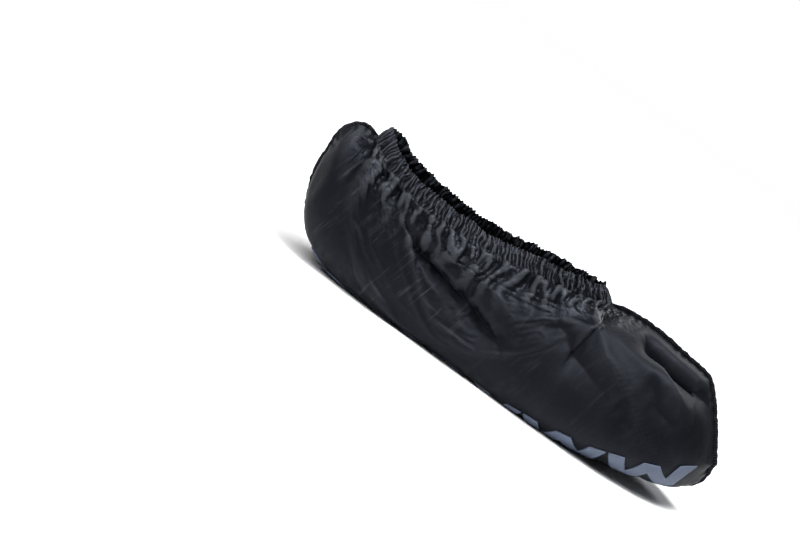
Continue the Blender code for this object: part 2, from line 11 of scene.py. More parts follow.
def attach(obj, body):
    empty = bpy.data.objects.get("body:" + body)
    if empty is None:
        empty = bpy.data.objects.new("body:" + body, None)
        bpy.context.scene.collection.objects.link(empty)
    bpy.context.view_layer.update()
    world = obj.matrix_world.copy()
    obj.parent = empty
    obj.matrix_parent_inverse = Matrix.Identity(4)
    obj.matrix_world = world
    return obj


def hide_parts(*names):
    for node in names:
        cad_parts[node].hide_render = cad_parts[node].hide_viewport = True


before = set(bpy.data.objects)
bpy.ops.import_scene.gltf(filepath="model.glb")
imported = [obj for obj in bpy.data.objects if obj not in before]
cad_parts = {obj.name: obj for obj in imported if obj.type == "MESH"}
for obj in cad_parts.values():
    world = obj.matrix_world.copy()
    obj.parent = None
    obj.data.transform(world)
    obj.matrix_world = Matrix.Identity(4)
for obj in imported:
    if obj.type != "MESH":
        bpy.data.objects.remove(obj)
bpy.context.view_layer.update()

bl_info = {
    "name": "Overshoe",
    "version": (1, 0, 0),
    "blender": (4, 5, 0),
    "location": "3D View > Sidebar > Overshoe",
    "description": "Builds the cloth, hem, seam and grip of a worn overshoe around its solid model",
    "category": "Object",
}

# The form, which is the form of the solids: overall sizes in metres and the places of the opening
LENGTH = 0.3385
HEIGHT = 0.105
HALF_WIDTH = 0.065
PANEL_SPACE = 0.0010
SOLE_Z = 0.0013
MOUTH_BACK = 0.0240
MOUTH_FRONT = 0.2190
BACK_AT = MOUTH_BACK / LENGTH
FRONT_AT = MOUTH_FRONT / LENGTH
MOUTH_HALF_WIDTH = 0.040
MOUTH_SQUARENESS = 2.3
MOUTH_TAPER = 0.12
SOLE_SQUARENESS = 3.2
SIDE_PULL = 0.50
TOP_PULL = 0.42
SEAM_HOLD = 0.010
STRAIGHT_ROWS_TO = 0.20
UP_TO_AT = 0.42
SECTION_POINTS = 60
FINE_STEPS = 600
TABLE_ROWS = 600
TABLE_COLUMNS = 240

# Cells of the cloth that is settled, over the closed heel, along the opening and over the closed toe, and how
# much finer the finished cloth is
SETTLED_CELLS = (15, 105, 54)
SETTLED_ACROSS = 84
FINER_NUMERATOR = 5
FINER_DENOMINATOR = 3
FINISHED_CELLS = tuple(cells * FINER_NUMERATOR // FINER_DENOMINATOR for cells in SETTLED_CELLS)
FINISHED_ACROSS = 150

# How far each side's folds are slid along, as a share of LENGTH
SHIFTS = {"right": 0.0, "left": 0.03}
SIDES = {"right": -1, "left": 1}

# Cross-sections, as in the solids. at is a share of LENGTH from the heel. bottom, widest and top are shares of
# HEIGHT. wide and spread are shares of HALF_WIDTH and of the grip's full width. lean is a slope in degrees.
Section = namedtuple("Section", "at bottom widest top wide lean spread")
SECTIONS = [
    Section(at=0.000, bottom=0.600, widest=0.660, top=0.735, wide=0.00, lean=0, spread=0.40),
    Section(at=0.012, bottom=0.385, widest=0.560, top=0.865, wide=0.30, lean=0, spread=0.42),
    Section(at=0.035, bottom=0.235, widest=0.440, top=0.915, wide=0.50, lean=0, spread=0.46),
    Section(at=0.075, bottom=0.107, widest=0.350, top=0.905, wide=0.64, lean=8, spread=0.52),
    Section(at=0.140, bottom=0.018, widest=0.300, top=0.805, wide=0.72, lean=52, spread=0.58),
    Section(at=0.240, bottom=-0.034, widest=0.275, top=0.745, wide=0.755, lean=60, spread=0.64),
    Section(at=0.360, bottom=-0.034, widest=0.260, top=0.735, wide=0.775, lean=60, spread=0.70),
    Section(at=0.480, bottom=-0.034, widest=0.250, top=0.790, wide=0.850, lean=56, spread=0.78),
    Section(at=0.590, bottom=-0.034, widest=0.250, top=0.838, wide=0.950, lean=40, spread=0.93),
    Section(at=0.655, bottom=-0.034, widest=0.255, top=0.880, wide=0.990, lean=6, spread=1.02),
    Section(at=0.740, bottom=-0.005, widest=0.265, top=0.905, wide=1.000, lean=0, spread=1.10),
    Section(at=0.820, bottom=0.042, widest=0.285, top=0.877, wide=0.945, lean=0, spread=1.11),
    Section(at=0.892, bottom=0.088, widest=0.310, top=0.842, wide=0.790, lean=0, spread=1.01),
    Section(at=0.912, bottom=0.105, widest=0.320, top=0.785, wide=0.730, lean=0, spread=0.97),
    Section(at=0.950, bottom=0.145, widest=0.335, top=0.640, wide=0.560, lean=0, spread=0.865),
    Section(at=0.985, bottom=0.215, widest=0.350, top=0.470, wide=0.310, lean=0, spread=0.63),
    Section(at=1.000, bottom=0.310, widest=0.355, top=0.385, wide=0.00, lean=0, spread=0.52),
]

# Main folds of each side. path goes through places given as shares of LENGTH and of the way up from the sole's
# centre to the hem. depth is in shares of HALF_WIDTH, negative for a ridge, half_width in shares of LENGTH.
# crease is the share of the depth that is in a sharper line along its middle, CREASE_WIDTH wide. Each fold is
# narrower on the side that faces the hem, and wider on the other, by the two shares.
STEEP_SIDE = 0.65
GENTLE_SIDE = 1.20
CREASE_WIDTH = 0.0110
Fold = namedtuple("Fold", "path depth half_width crease")
FOLDS = [
    Fold([(0.070, 0.97), (0.070, 0.55)], depth=0.070, half_width=0.026, crease=0.0),
    Fold([(0.115, 0.95), (0.115, 0.55)], depth=-0.050, half_width=0.024, crease=0.1),
    Fold([(0.160, 0.92), (0.150, 0.50)], depth=0.065, half_width=0.026, crease=0.2),
    Fold([(0.166, 0.47), (0.242, 0.45), (0.330, 0.41)], depth=-0.035, half_width=0.016, crease=0.0),
    Fold(
        [(0.198, 0.90), (0.258, 0.81), (0.342, 0.77), (0.430, 0.70), (0.500, 0.60), (0.550, 0.50)],
        depth=0.185,
        half_width=0.026,
        crease=0.35,
    ),
    Fold([(0.290, 0.92), (0.370, 0.86), (0.450, 0.80), (0.530, 0.68)], depth=-0.070, half_width=0.024, crease=0.2),
    Fold([(0.560, 0.86), (0.606, 0.75), (0.650, 0.61), (0.754, 0.52)], depth=0.085, half_width=0.024, crease=0.4),
    Fold([(0.590, 0.86), (0.650, 0.76), (0.700, 0.66), (0.770, 0.62)], depth=-0.040, half_width=0.026, crease=0.2),
    Fold([(0.766, 0.56), (0.818, 0.46)], depth=0.040, half_width=0.018, crease=0.2),
    Fold(
        [(0.730, 0.90), (0.774, 0.86), (0.820, 0.84), (0.886, 0.84), (0.934, 0.92)],
        depth=0.225,
        half_width=0.026,
        crease=0.35,
    ),
    Fold(
        [(0.740, 0.82), (0.802, 0.79), (0.830, 0.73), (0.874, 0.68), (0.920, 0.66)],
        depth=-0.085,
        half_width=0.026,
        crease=0.35,
    ),
    Fold([(0.790, 0.73), (0.836, 0.62), (0.890, 0.57)], depth=0.060, half_width=0.022, crease=0.35),
]

# Gathers that run down from the hem, coarse to fine: metres between them, how deep they are and how far down
# they reach
Gather = namedtuple("Gather", "pitch depth reach seed")
GATHERS = [
    Gather(pitch=0.0150, depth=0.0016, reach=0.046, seed=3),
    Gather(pitch=0.0078, depth=0.0011, reach=0.026, seed=5),
    Gather(pitch=0.0046, depth=0.0006, reach=0.013, seed=7),
]

# The gathers fade out over this much of the hem at its toe and heel ends. WANDER is how far they stray sideways, in
# pitches.
GATHER_END = 0.010
GATHER_WANDER = 0.80

# Puffs of loose cloth just under the hem: how wide, how deep, how far below the hem they start and end, and how much
# longer they hang than they are wide
PUFF_SIZE = 0.0120
PUFF_DEPTH = 0.0026
PUFF_FROM = 0.0030
PUFF_REACH = 0.0240
PUFF_STRETCH = 0.55

# Puckers across the centre seam: metres between them, how deep they are and how far from the seam they reach
PUCKER_PITCH = 0.0068
PUCKER_DEPTH = 0.0004
PUCKER_REACH = 0.013

# Creases left by handling: how deep they are, what share of that is left away from the hem, and the sizes, seeds and
# shares of their two layers
CREASE_DEPTH = 0.0007
CREASE_SIDE = 0.25
CREASE_FROM, CREASE_TO = 0.005, 0.045
CREASE_LAYERS = ((0.017, 42, 0.6), (0.009, 43, 0.4))
CREASE_PATCH = 0.05

# How the cloth is settled. The solver's own values suit garments, so it works on the overshoe at a larger size. GROWTH
# is how much too large the loosest cloth is cut. START and START_SIZE are the first small bumps, and CAP is the
# farthest that it may move.
SETTLE_SCALE = 5.0
SETTLE_FRAMES = 16
SETTLE_SETTINGS = {
    "quality": 5,
    "mass": 0.15,
    "air_damping": 2.0,
    "tension_stiffness": 20.0,
    "compression_stiffness": 20.0,
    "shear_stiffness": 8.0,
    "bending_stiffness": 0.25,
    "pin_stiffness": 1.0,
}
SETTLE_GROWTH = 0.20
SETTLE_GRAVITY = 0.3
SETTLE_START = 0.0006
SETTLE_START_SIZE = 0.009
SETTLE_CAP = 0.0075
FORM_INSET = 0.0035
FORM_SKIN = 0.0006
FORM_FRICTION = 15.0

# Where it is loose: the share of the growth that is left on the sides, how far below the hem the rest reaches, what
# is added beside the seam, and the shares of the way up between which the trodden sole ends. The two ends of the hem
# are calmed. Cloth near a sewn edge is held, and what is within EDGE_HOLD of it stays on the middle plane.
SIDE_LOOSENESS = 0.07
LOOSE_REACH = 0.040
SEAM_LOOSENESS = 0.15
SEAM_LOOSE_REACH = 0.020
TRODDEN_FROM, TRODDEN_TO = 0.22, 0.34
END_CALM = 0.85
CALM_PASSES = 6
SEWN_REACH = 0.004
EDGE_HOLD = 0.0012

# What the cloth's material reads: how a point stands out, and how crinkled it is by its distance from the hem
CREST_PASSES = 12
CREST_FULL = 0.0006
HEM_CREST_FULL = 0.0008
CRINKLE_FROM = 0.006
CRINKLE_TO = 0.038
CRINKLE_LEAST = 0.15

# The hem: rings round the opening, each from below the cloth's edge to the top of the fold. Rows are shares of its
# height. Leans are from upright, towards the foot.
HEM_STEPS = 1200
HEM_CORNERS = 34
HEM_SMOOTHING = 20
HEM_BELOW = 0.0028
HEM_TALL = 0.0112
HEM_UNEVEN = 0.12
HEM_UNEVEN_SIZE = 0.014
HEM_JAGGED = 0.0006
HEM_HALF_THICK = 0.0013
HEM_EDGE_HALF_THICK = 0.0005
HEM_STITCH_ROWS = (0.30, 0.80)
HEM_STITCH_DEPTH = 0.0003
HEM_STITCH_HALF_WIDTH = 0.035
HEM_SLANT = 0.25
HEM_END = 0.004
HEM_END_PLEATS = 0.3
HEM_PLEATS = [
    Gather(pitch=0.0027, depth=0.0006, reach=1.0, seed=21),
    Gather(pitch=0.0046, depth=0.0008, reach=1.0, seed=7),
    Gather(pitch=0.0078, depth=0.0009, reach=1.0, seed=5),
    Gather(pitch=0.0150, depth=0.0010, reach=1.0, seed=3),
]
HEM_LEAN_SIDE = math.radians(24)
HEM_LEAN_HEEL = math.radians(20)
HEM_LEAN_TOE = math.radians(58)

# The seam: a flat band under the sole that turns into a narrow fin between the two heights above it. It sways from
# side to side, its edge is ragged, and it is tucked under the hem at both ends. The thread goes round it in loops.
SEAM_STEP = 0.0007
SEAM_CORNERS = 16
SEAM_SMOOTHING = 6
SEAM_BAND = 0.0090
SEAM_BAND_TALL = 0.0009
SEAM_FIN = 0.0018
SEAM_FIN_TALL = 0.0028
SEAM_FIN_FROM = 0.0010
SEAM_FIN_TO = 0.0220
SEAM_SUNK = 0.0005
SEAM_SWAY = 0.0005
SEAM_SWAY_PITCH = 0.0090
SEAM_RIB = 0.00010
SEAM_RAGGED = 0.0006
SEAM_RAGGED_SIZE = 0.0035
SEAM_STOP = 0.0004
SEAM_TUCK = 0.0100
SEAM_END_TALL = 0.0008
LOOP_PITCH = 0.0018
LOOP_POINTS = 12
LOOP_THREAD = 0.00014

# Grip: zigzag units in two rows on each side, in metres
GRIP_THICK = 0.0010
GRIP_PITCH = 0.0898 * LENGTH
GRIP_ROW_TALL = 0.0215
GRIP_ROW_SPACE = 0.0036
GRIP_FIRST_ROW = 0.0095
GRIP_STROKE = 0.0110
GRIP_SPLIT = 0.0018
GRIP_HEEL_START = 0.0886 * LENGTH
GRIP_UNITS = 5
GRIP_CELL = 0.0020
GRIP_LIFT = 0.00005
GRIP_MERGE = 0.00015
GRIP_SOFT_EDGE = 0.00025

# The lowest that a drawn piece may reach, and the floor, which is just under the sole
LEAST_Z = 0.0002
FLOOR_Z = -0.0001
FLOOR_RADIUS = 40.0

# The picture, and where the middle of the overshoe is in it
PICTURE_WIDE, PICTURE_TALL = 800, 533
SENSOR_WIDE = 36.0
VIEW_TARGET = (0.0, 0.0, 0.045)
VIEW_TARGET_PIXEL = (511.6, 317.5)


def smooth_step(value, low, high):
    """0 below low and 1 above high, with a smooth rise between them."""
    share = np.clip((np.asarray(value, float) - low) / (high - low), 0.0, 1.0)
    return share * share * (3.0 - 2.0 * share)


def noise(points, size, seed):
    """Smooth noise from about -1 to 1, with lumps of the given size in metres."""
    scaled = np.asarray(points, float) / size + seed * 7.31
    cell = np.floor(scaled).astype(np.int64)
    inside = scaled - cell
    ease = inside**3 * (inside * (inside * 6 - 15) + 10)
    total = np.zeros(scaled.shape[:-1])
    for corner in product((0, 1), repeat=3):
        place = cell + np.array(corner)
        mixed = (place[..., 0] * 73856093) ^ (place[..., 1] * 19349663) ^ (place[..., 2] * 83492791)
        mixed = (mixed ^ (seed * 97531)) & 0xFFFFFFFF
        mixed = ((mixed ^ (mixed >> 13)) * 1274126177) & 0xFFFFFFFF
        mixed ^= mixed >> 16
        turn = (mixed & 1023) / 1024 * 2 * math.pi
        tall = ((mixed >> 10) & 1023) / 511.5 - 1
        flat = np.sqrt(np.maximum(0.0, 1 - tall * tall))
        slope = np.stack([flat * np.cos(turn), flat * np.sin(turn), tall], axis=-1)
        weight = np.prod(np.where(np.array(corner) == 1, ease, 1 - ease), axis=-1)
        total += weight * np.sum(slope * (inside - np.array(corner)), axis=-1)
    return total * 1.7


def noise_on_line(distance, size, seed):
    """The same noise along a line."""
    distance = np.asarray(distance, float)
    return noise(np.stack([distance, distance * 0.0, distance * 0.0], axis=-1), size, seed)


def unit(vectors):
    """The same vectors, each 1 long."""
    return vectors / np.maximum(np.linalg.norm(vectors, axis=-1, keepdims=True), 1e-12)


def distances(curve):
    """How far along a curve each of its points is."""
    return np.concatenate([[0.0], np.cumsum(np.linalg.norm(np.diff(curve, axis=0), axis=1))])


def read_line(places, run, line):
    """The points of a line at distances along it."""
    return np.column_stack([np.interp(places, run, line[:, k]) for k in range(line.shape[1])])


def on_side(points, sign):
    """Points of the side towards +Y, moved to the side of the given sign, or back."""
    return points * np.array([1.0, sign, 1.0])


def station(at):
    """Turns a share of the length into an angle, which makes the rounded ends round."""
    return math.acos(max(-1.0, min(1.0, 1.0 - 2.0 * at)))


def monotone_slopes(xs, ys):
    """Slopes of a smooth curve through a table, flat at its peaks, so that it never overshoots."""
    steps = np.diff(ys) / np.diff(xs)
    slopes = np.empty(len(xs))
    slopes[0], slopes[-1] = steps[0], steps[-1]
    for i in range(1, len(xs) - 1):
        same_way = steps[i - 1] * steps[i] > 0
        slopes[i] = 2.0 * steps[i - 1] * steps[i] / (steps[i - 1] + steps[i]) if same_way else 0.0
    return slopes


STATIONS = np.array([station(row.at) for row in SECTIONS])
COLUMNS = {name: np.array([getattr(row, name) for row in SECTIONS]) for name in Section._fields[1:]}
SLOPES = {name: monotone_slopes(STATIONS, values) for name, values in COLUMNS.items()}


def read_column(name, at):
    """One column of the section table at a share of the length, on a smooth curve through its rows."""
    where = station(at)
    i = int(np.clip(np.searchsorted(STATIONS, where) - 1, 0, len(STATIONS) - 2))
    wide = STATIONS[i + 1] - STATIONS[i]
    h = (where - STATIONS[i]) / wide
    values, slopes = COLUMNS[name], SLOPES[name]
    return (
        values[i] * (1 + 2 * h) * (1 - h) ** 2
        + slopes[i] * wide * h * (1 - h) ** 2
        + values[i + 1] * h * h * (3 - 2 * h)
        + slopes[i + 1] * wide * h * h * (h - 1)
    )


def mouth_half_width(at):
    """Half the width of the opening: an oval, a little fuller towards the heel."""
    middle = (MOUTH_FRONT + MOUTH_BACK) / 2
    reach = (MOUTH_FRONT - MOUTH_BACK) / 2
    along = (at * LENGTH - middle) / reach
    if abs(along) >= 1.0:
        return 0.0
    oval = (1.0 - abs(along) ** MOUTH_SQUARENESS) ** (1.0 / MOUTH_SQUARENESS)
    return MOUTH_HALF_WIDTH * oval * (1.0 - MOUTH_TAPER * along)


def half_section(at):
    """The half cross-section's points (y, z), from the centre of the sole round the side to the top."""
    wide = HALF_WIDTH * read_column("wide", at)
    bottom = HEIGHT * read_column("bottom", at)
    widest = HEIGHT * read_column("widest", at)
    top = HEIGHT * read_column("top", at)
    mouth = mouth_half_width(at)
    lean = math.radians(read_column("lean", at))
    turn = np.linspace(-math.pi / 2, 0.0, SECTION_POINTS)
    lower_y = wide * np.abs(np.cos(turn)) ** (2 / SOLE_SQUARENESS)
    lower_z = widest - (widest - bottom) * np.abs(np.sin(turn)) ** (2 / SOLE_SQUARENESS)
    side, rim = np.array([wide, widest]), np.array([mouth, top])
    straight = np.linalg.norm(rim - side)
    corners = [
        side,
        side + SIDE_PULL * (top - widest) * np.array([0.0, 1.0]),
        rim + TOP_PULL * straight * np.array([math.cos(lean), -math.sin(lean)]),
        rim,
    ]
    share = np.linspace(0.0, 1.0, SECTION_POINTS)[1:, None]
    upper = (
        corners[0] * (1 - share) ** 3
        + corners[1] * 3 * share * (1 - share) ** 2
        + corners[2] * 3 * share**2 * (1 - share)
        + corners[3] * share**3
    )
    y = np.concatenate([lower_y, upper[:, 0]])
    z = np.concatenate([lower_z, upper[:, 1]])
    return y + PANEL_SPACE / 2, np.maximum(z, SOLE_Z)


def on_grid(table, row, column):
    """The values of a grid of points at places given in fractions of its cells."""
    row = np.clip(row, 0, table.shape[0] - 1.000001)
    column = np.clip(column, 0, table.shape[1] - 1.000001)
    i, j = row.astype(int), column.astype(int)
    a, b = (row - i)[..., None], (column - j)[..., None]
    low = table[i, j] * (1 - a) + table[i + 1, j] * a
    high = table[i, j + 1] * (1 - a) + table[i + 1, j + 1] * a
    return low * (1 - b) + high * b


def normals_of(points):
    """Unit normals of a grid of points, out of the overshoe where the grid runs from heel to toe and upwards."""
    return unit(np.cross(np.gradient(points, axis=1), np.gradient(points, axis=0)))


class PlainCloth:
    """The cloth of the side towards +Y before any fold, as a fine table that is read between its points."""

    def __init__(self):
        self.ats = (1 - np.cos(np.pi * np.arange(TABLE_ROWS + 1) / TABLE_ROWS)) / 2
        ways = np.linspace(0.0, 1.0, TABLE_COLUMNS + 1)
        rows, girths = [], []
        for at in self.ats:
            y, z = half_section(at)
            section = np.column_stack([np.full(len(y), (at - 0.5) * LENGTH), y, z])
            run = distances(section)
            rows.append(read_line(ways * run[-1], run, section))
            girths.append(run[-1])
        self.table = np.array(rows)
        self.girths = np.array(girths)
        self.normals = normals_of(self.table)
        # The other side carries the surface on, so it meets the middle plane squarely
        self.normals[self.table[:, :, 1] < PANEL_SPACE / 2 + 1e-6, 1] = 0.0
        self.normals = unit(self.normals)

    def cells(self, at, up):
        return np.arccos(np.clip(1 - 2 * np.asarray(at, float), -1, 1)) / np.pi * TABLE_ROWS, up * TABLE_COLUMNS

    def points(self, at, up):
        return on_grid(self.table, *self.cells(at, up))

    def outward(self, at, up):
        return unit(on_grid(self.normals, *self.cells(at, up)))

    def girth(self, at):
        return np.interp(at, self.ats, self.girths)


PLAIN = PlainCloth()


def fold_offset(at, up, shift):
    """How far the main folds move the cloth outwards."""
    total = np.zeros(at.shape)
    for fold in FOLDS:
        best = np.full(at.shape, np.inf)
        along = np.zeros(at.shape)
        for k, ((start_at, start_up), (end_at, end_up)) in enumerate(zip(fold.path, fold.path[1:])):
            step = np.array([end_at - start_at, (end_up - start_up) * UP_TO_AT])
            away_at, away_up = at - start_at - shift, (up - start_up) * UP_TO_AT
            share = np.clip((away_at * step[0] + away_up * step[1]) / np.dot(step, step), 0.0, 1.0)
            distance = np.hypot(away_at - share * step[0], away_up - share * step[1])
            above = step[0] * away_up - step[1] * away_at > 0
            distance = distance / np.where(above, STEEP_SIDE, GENTLE_SIDE)
            nearer = distance < best
            best = np.where(nearer, distance, best)
            along = np.where(nearer, (k + share) / (len(fold.path) - 1), along)
        taper = smooth_step(along, -0.05, 0.30) * (1.0 - smooth_step(along, 0.65, 1.05))
        broad = np.exp(-((best / fold.half_width) ** 2)) * (1 - fold.crease)
        sharp = np.exp(-best / CREASE_WIDTH) * fold.crease
        total -= fold.depth * HALF_WIDTH * (broad + sharp) * taper
    return total


def even_places(low, high, cells, point):
    """Shares of LENGTH from low to high, evenly spaced along the curve that point gives."""
    fine = [low + (high - low) * (1 - math.cos(math.pi * i / FINE_STEPS)) / 2 for i in range(FINE_STEPS + 1)]
    curve = np.array([point(at) for at in fine])
    run = distances(curve)
    return [float(np.interp(run[-1] * i / cells, run, fine)) for i in range(cells + 1)]


def widest_point(at):
    return (at * LENGTH, HALF_WIDTH * read_column("wide", at), HEIGHT * read_column("widest", at))


def top_point(at):
    return (at * LENGTH, mouth_half_width(at), HEIGHT * read_column("top", at))


def heel_to_toe_places(cells):
    """Where each crosswise row of cloth crosses the sole and the hem or top, as shares of LENGTH."""
    heel, mouth, toe = cells
    sole = even_places(0.0, 1.0, heel + mouth + toe, widest_point)
    top = even_places(0.0, BACK_AT, heel, top_point)[:-1]
    top += even_places(BACK_AT, FRONT_AT, mouth, top_point)[:-1]
    top += even_places(FRONT_AT, 1.0, toe, top_point)
    return np.array(sole), np.array(top)


def places_of(cells, across):
    """The places (at, up) of a grid of cloth."""
    sole, top = heel_to_toe_places(cells)
    ups = np.linspace(0.0, 1.0, across + 1)
    ats = sole[:, None] + (top - sole)[:, None] * smooth_step(ups, STRAIGHT_ROWS_TO, 1.0)[None, :]
    return ats, np.broadcast_to(ups, ats.shape)


def folded_cloth(at, up, shift):
    """The cloth with its main folds, for the side towards +Y."""
    plain = PLAIN.points(at, up)
    free = smooth_step(plain[..., 1], PANEL_SPACE / 2, SEAM_HOLD)
    made = plain + PLAIN.outward(at, up) * (fold_offset(at, up, shift) * free)[..., None]
    made[..., 1] = np.maximum(made[..., 1], PANEL_SPACE / 2)
    made[..., 2] = np.maximum(made[..., 2], SOLE_Z)
    return made


def mesh_object(name, points, faces):
    """An object at the origin with the given points and faces."""
    mesh = bpy.data.meshes.new(name)
    mesh.from_pydata(np.asarray(points).reshape(-1, 3).tolist(), [], faces)
    mesh.update()
    made = bpy.data.objects.new(name, mesh)
    bpy.context.scene.collection.objects.link(made)
    return made


def grid_faces(rows, columns, turned=False, round_rows=False, round_columns=False):
    """The faces of a grid of points, which may close on itself either way."""
    i = np.arange(rows if round_rows else rows - 1)[:, None]
    j = np.arange(columns if round_columns else columns - 1)[None, :]
    next_i, next_j = (i + 1) % rows, (j + 1) % columns
    corners = [i * columns + j, next_i * columns + j, next_i * columns + next_j, i * columns + next_j]
    if not turned:
        corners.reverse()
    return np.stack([corner.reshape(-1) for corner in np.broadcast_arrays(*corners)], axis=1).tolist()


def select_only(piece):
    bpy.ops.object.select_all(action="DESELECT")
    piece.select_set(True)
    bpy.context.view_layer.objects.active = piece


def apply_modifiers(piece):
    select_only(piece)
    for modifier in list(piece.modifiers):
        bpy.ops.object.modifier_apply(modifier=modifier.name)


def weigh(piece, name, weights):
    """A vertex group with one weight for each point."""
    group = piece.vertex_groups.new(name=name)
    for i, weight in enumerate(weights):
        group.add([i], float(weight), "REPLACE")


def settle(points, held, loose):
    """Lets a grid of cloth that is cut larger than its place buckle into wrinkles, and returns its points.

    held is 1 where the cloth is sewn or trodden flat. loose is how much larger it is cut, as a share of
    SETTLE_GROWTH. A form a little smaller than the cloth stands inside it.
    """
    rows, columns = points.shape[:2]
    faces = grid_faces(rows, columns)
    rough = points + normals_of(points) * (noise(points, SETTLE_START_SIZE, 11) * SETTLE_START)[..., None]
    cloth = mesh_object("settling cloth", rough * SETTLE_SCALE, faces)
    form = mesh_object("inner form", (points - normals_of(points) * FORM_INSET) * SETTLE_SCALE, faces)
    form.modifiers.new("form", "COLLISION")
    form.collision.thickness_outer = FORM_SKIN * SETTLE_SCALE
    form.collision.cloth_friction = FORM_FRICTION
    weigh(cloth, "held", held.reshape(-1))
    weigh(cloth, "loose", loose.reshape(-1))
    modifier = cloth.modifiers.new("settle", "CLOTH")
    settings = modifier.settings
    for name, value in SETTLE_SETTINGS.items():
        setattr(settings, name, value)
    settings.vertex_group_mass = "held"
    settings.vertex_group_shrink = "loose"
    settings.shrink_min = 0.0
    settings.shrink_max = -SETTLE_GROWTH
    settings.effector_weights.gravity = SETTLE_GRAVITY
    modifier.collision_settings.distance_min = FORM_SKIN * SETTLE_SCALE
    modifier.collision_settings.use_self_collision = False
    modifier.point_cache.frame_end = SETTLE_FRAMES
    scene = bpy.context.scene
    for number in range(1, SETTLE_FRAMES + 1):
        scene.frame_set(number)
    apply_modifiers(cloth)
    found = np.empty(rows * columns * 3, np.float32)
    cloth.data.vertices.foreach_get("co", found)
    bpy.data.objects.remove(cloth)
    bpy.data.objects.remove(form)
    scene.frame_set(1)
    move = found.reshape(rows, columns, 3) / SETTLE_SCALE - points
    far = np.linalg.norm(move, axis=-1, keepdims=True)
    return points + move * SETTLE_CAP * np.tanh(far / SETTLE_CAP) / np.maximum(far, 1e-9)


def finer(values, places, axis):
    """A grid of points read at fractions of its cells along one axis, on a smooth curve through its points."""
    values = np.moveaxis(values, axis, 0)
    last = len(values) - 1
    i = np.clip(places.astype(int), 0, last - 1)
    h = (places - i).reshape((-1,) + (1,) * (values.ndim - 1))
    before, after = values[np.maximum(i - 1, 0)], values[np.minimum(i + 2, last)]
    here, there = values[i], values[i + 1]
    made = here + 0.5 * h * (
        there - before + h * (2 * before - 5 * here + 4 * there - after + h * (3 * (here - there) + after - before))
    )
    return np.moveaxis(made, 0, axis)


class Rim:
    """The edge of the opening seen from the side towards +Y: how far along it each place is."""

    def __init__(self):
        ats = np.array(even_places(BACK_AT, FRONT_AT, FINE_STEPS, top_point))
        curve = PLAIN.points(ats, np.ones(len(ats)))
        self.ats = ats
        self.run = distances(curve)
        self.length = self.run[-1]

    def distance(self, at):
        return np.interp(at, self.ats, self.run)

    def below(self, at, up):
        """How far each place on the plain cloth is from the opening's edge."""
        found = np.empty(at.shape)
        edge = PLAIN.points(self.ats[::3], np.ones(len(self.ats[::3])))
        for i, row in enumerate(PLAIN.points(at, up)):
            found[i] = np.sqrt(np.min(np.sum((row[:, None] - edge[None]) ** 2, axis=-1), axis=1))
        return found


RIM = Rim()


def gather_wave(gather, along, below):
    """One layer of gathers at a distance round the rim and below it, from about -1 to 1."""
    drift = noise(np.stack([along, below * 1.5, along * 0.0], axis=-1), gather.pitch * 2.6, gather.seed)
    strength = noise(np.stack([along, below, along * 0.0], axis=-1), gather.pitch * 3.5, gather.seed + 1)
    wave = np.sin(2 * math.pi * (along / gather.pitch + GATHER_WANDER * drift))
    return wave * np.clip(0.65 + 0.75 * strength, 0.1, 1.3)  # some gathers nearly vanish


def puffs(along, below):
    """Loose puffs of cloth that hang over the foot of the hem, between deep creases."""
    place = np.stack([along, below * PUFF_STRETCH, along * 0.0], axis=-1)
    lump = 1.0 - 1.9 * np.abs(noise(place, PUFF_SIZE, 71)) + 0.35 * noise(place, PUFF_SIZE * 0.45, 72)
    fade = smooth_step(below, 0.0, PUFF_FROM) * (1.0 - smooth_step(below, PUFF_FROM, PUFF_REACH))
    return PUFF_DEPTH * lump * fade


def gathers(along, below):
    """How far the gathers move the cloth outwards. along is the distance round the whole opening."""
    total = puffs(along, below)
    half = np.where(along > RIM.length, 2 * RIM.length - along, along)
    ends = smooth_step(half, 0.0, GATHER_END) * smooth_step(RIM.length - half, 0.0, GATHER_END)
    for gather in GATHERS:
        fade = 1.0 - smooth_step(below, gather.reach * 0.25, gather.reach)
        total += gather.depth * gather_wave(gather, along, below) * fade
    return total * ends


def averaged(values, passes):
    """A grid of values, each replaced by the mean of the four beside it, over and over."""
    for _ in range(passes):
        padded = np.pad(values, ((1, 1), (1, 1), (0, 0)), mode="edge")
        values = (padded[:-2, 1:-1] + padded[2:, 1:-1] + padded[1:-1, :-2] + padded[1:-1, 2:]) / 4
    return values


def ridged(points, size, seed):
    """Noise with sharp crests, as creased cloth has, from about -1 to 1."""
    return 1.0 - 2.2 * np.abs(noise(points, size, seed))


def seam_line(points):
    """The line of the centre seam round a finished grid of cloth: over the toe, under the sole, up the heel."""
    heel, mouth, _ = FINISHED_CELLS
    line = np.concatenate(
        [points[heel + mouth :, -1], points[-1, -2::-1], points[-2::-1, 0], points[0, 1:], points[1 : heel + 1, -1]]
    )
    line = on_side(line, 0.0)
    return line, distances(line)


def nearest_on_line(points, line, run):
    """How far along the seam's line each point is."""
    found = np.empty(len(points))
    for start in range(0, len(points), 2000):
        part = points[start : start + 2000, None, :]
        found[start : start + 2000] = run[np.argmin(np.sum((part - line[None, ::2]) ** 2, axis=-1), axis=1) * 2]
    return found


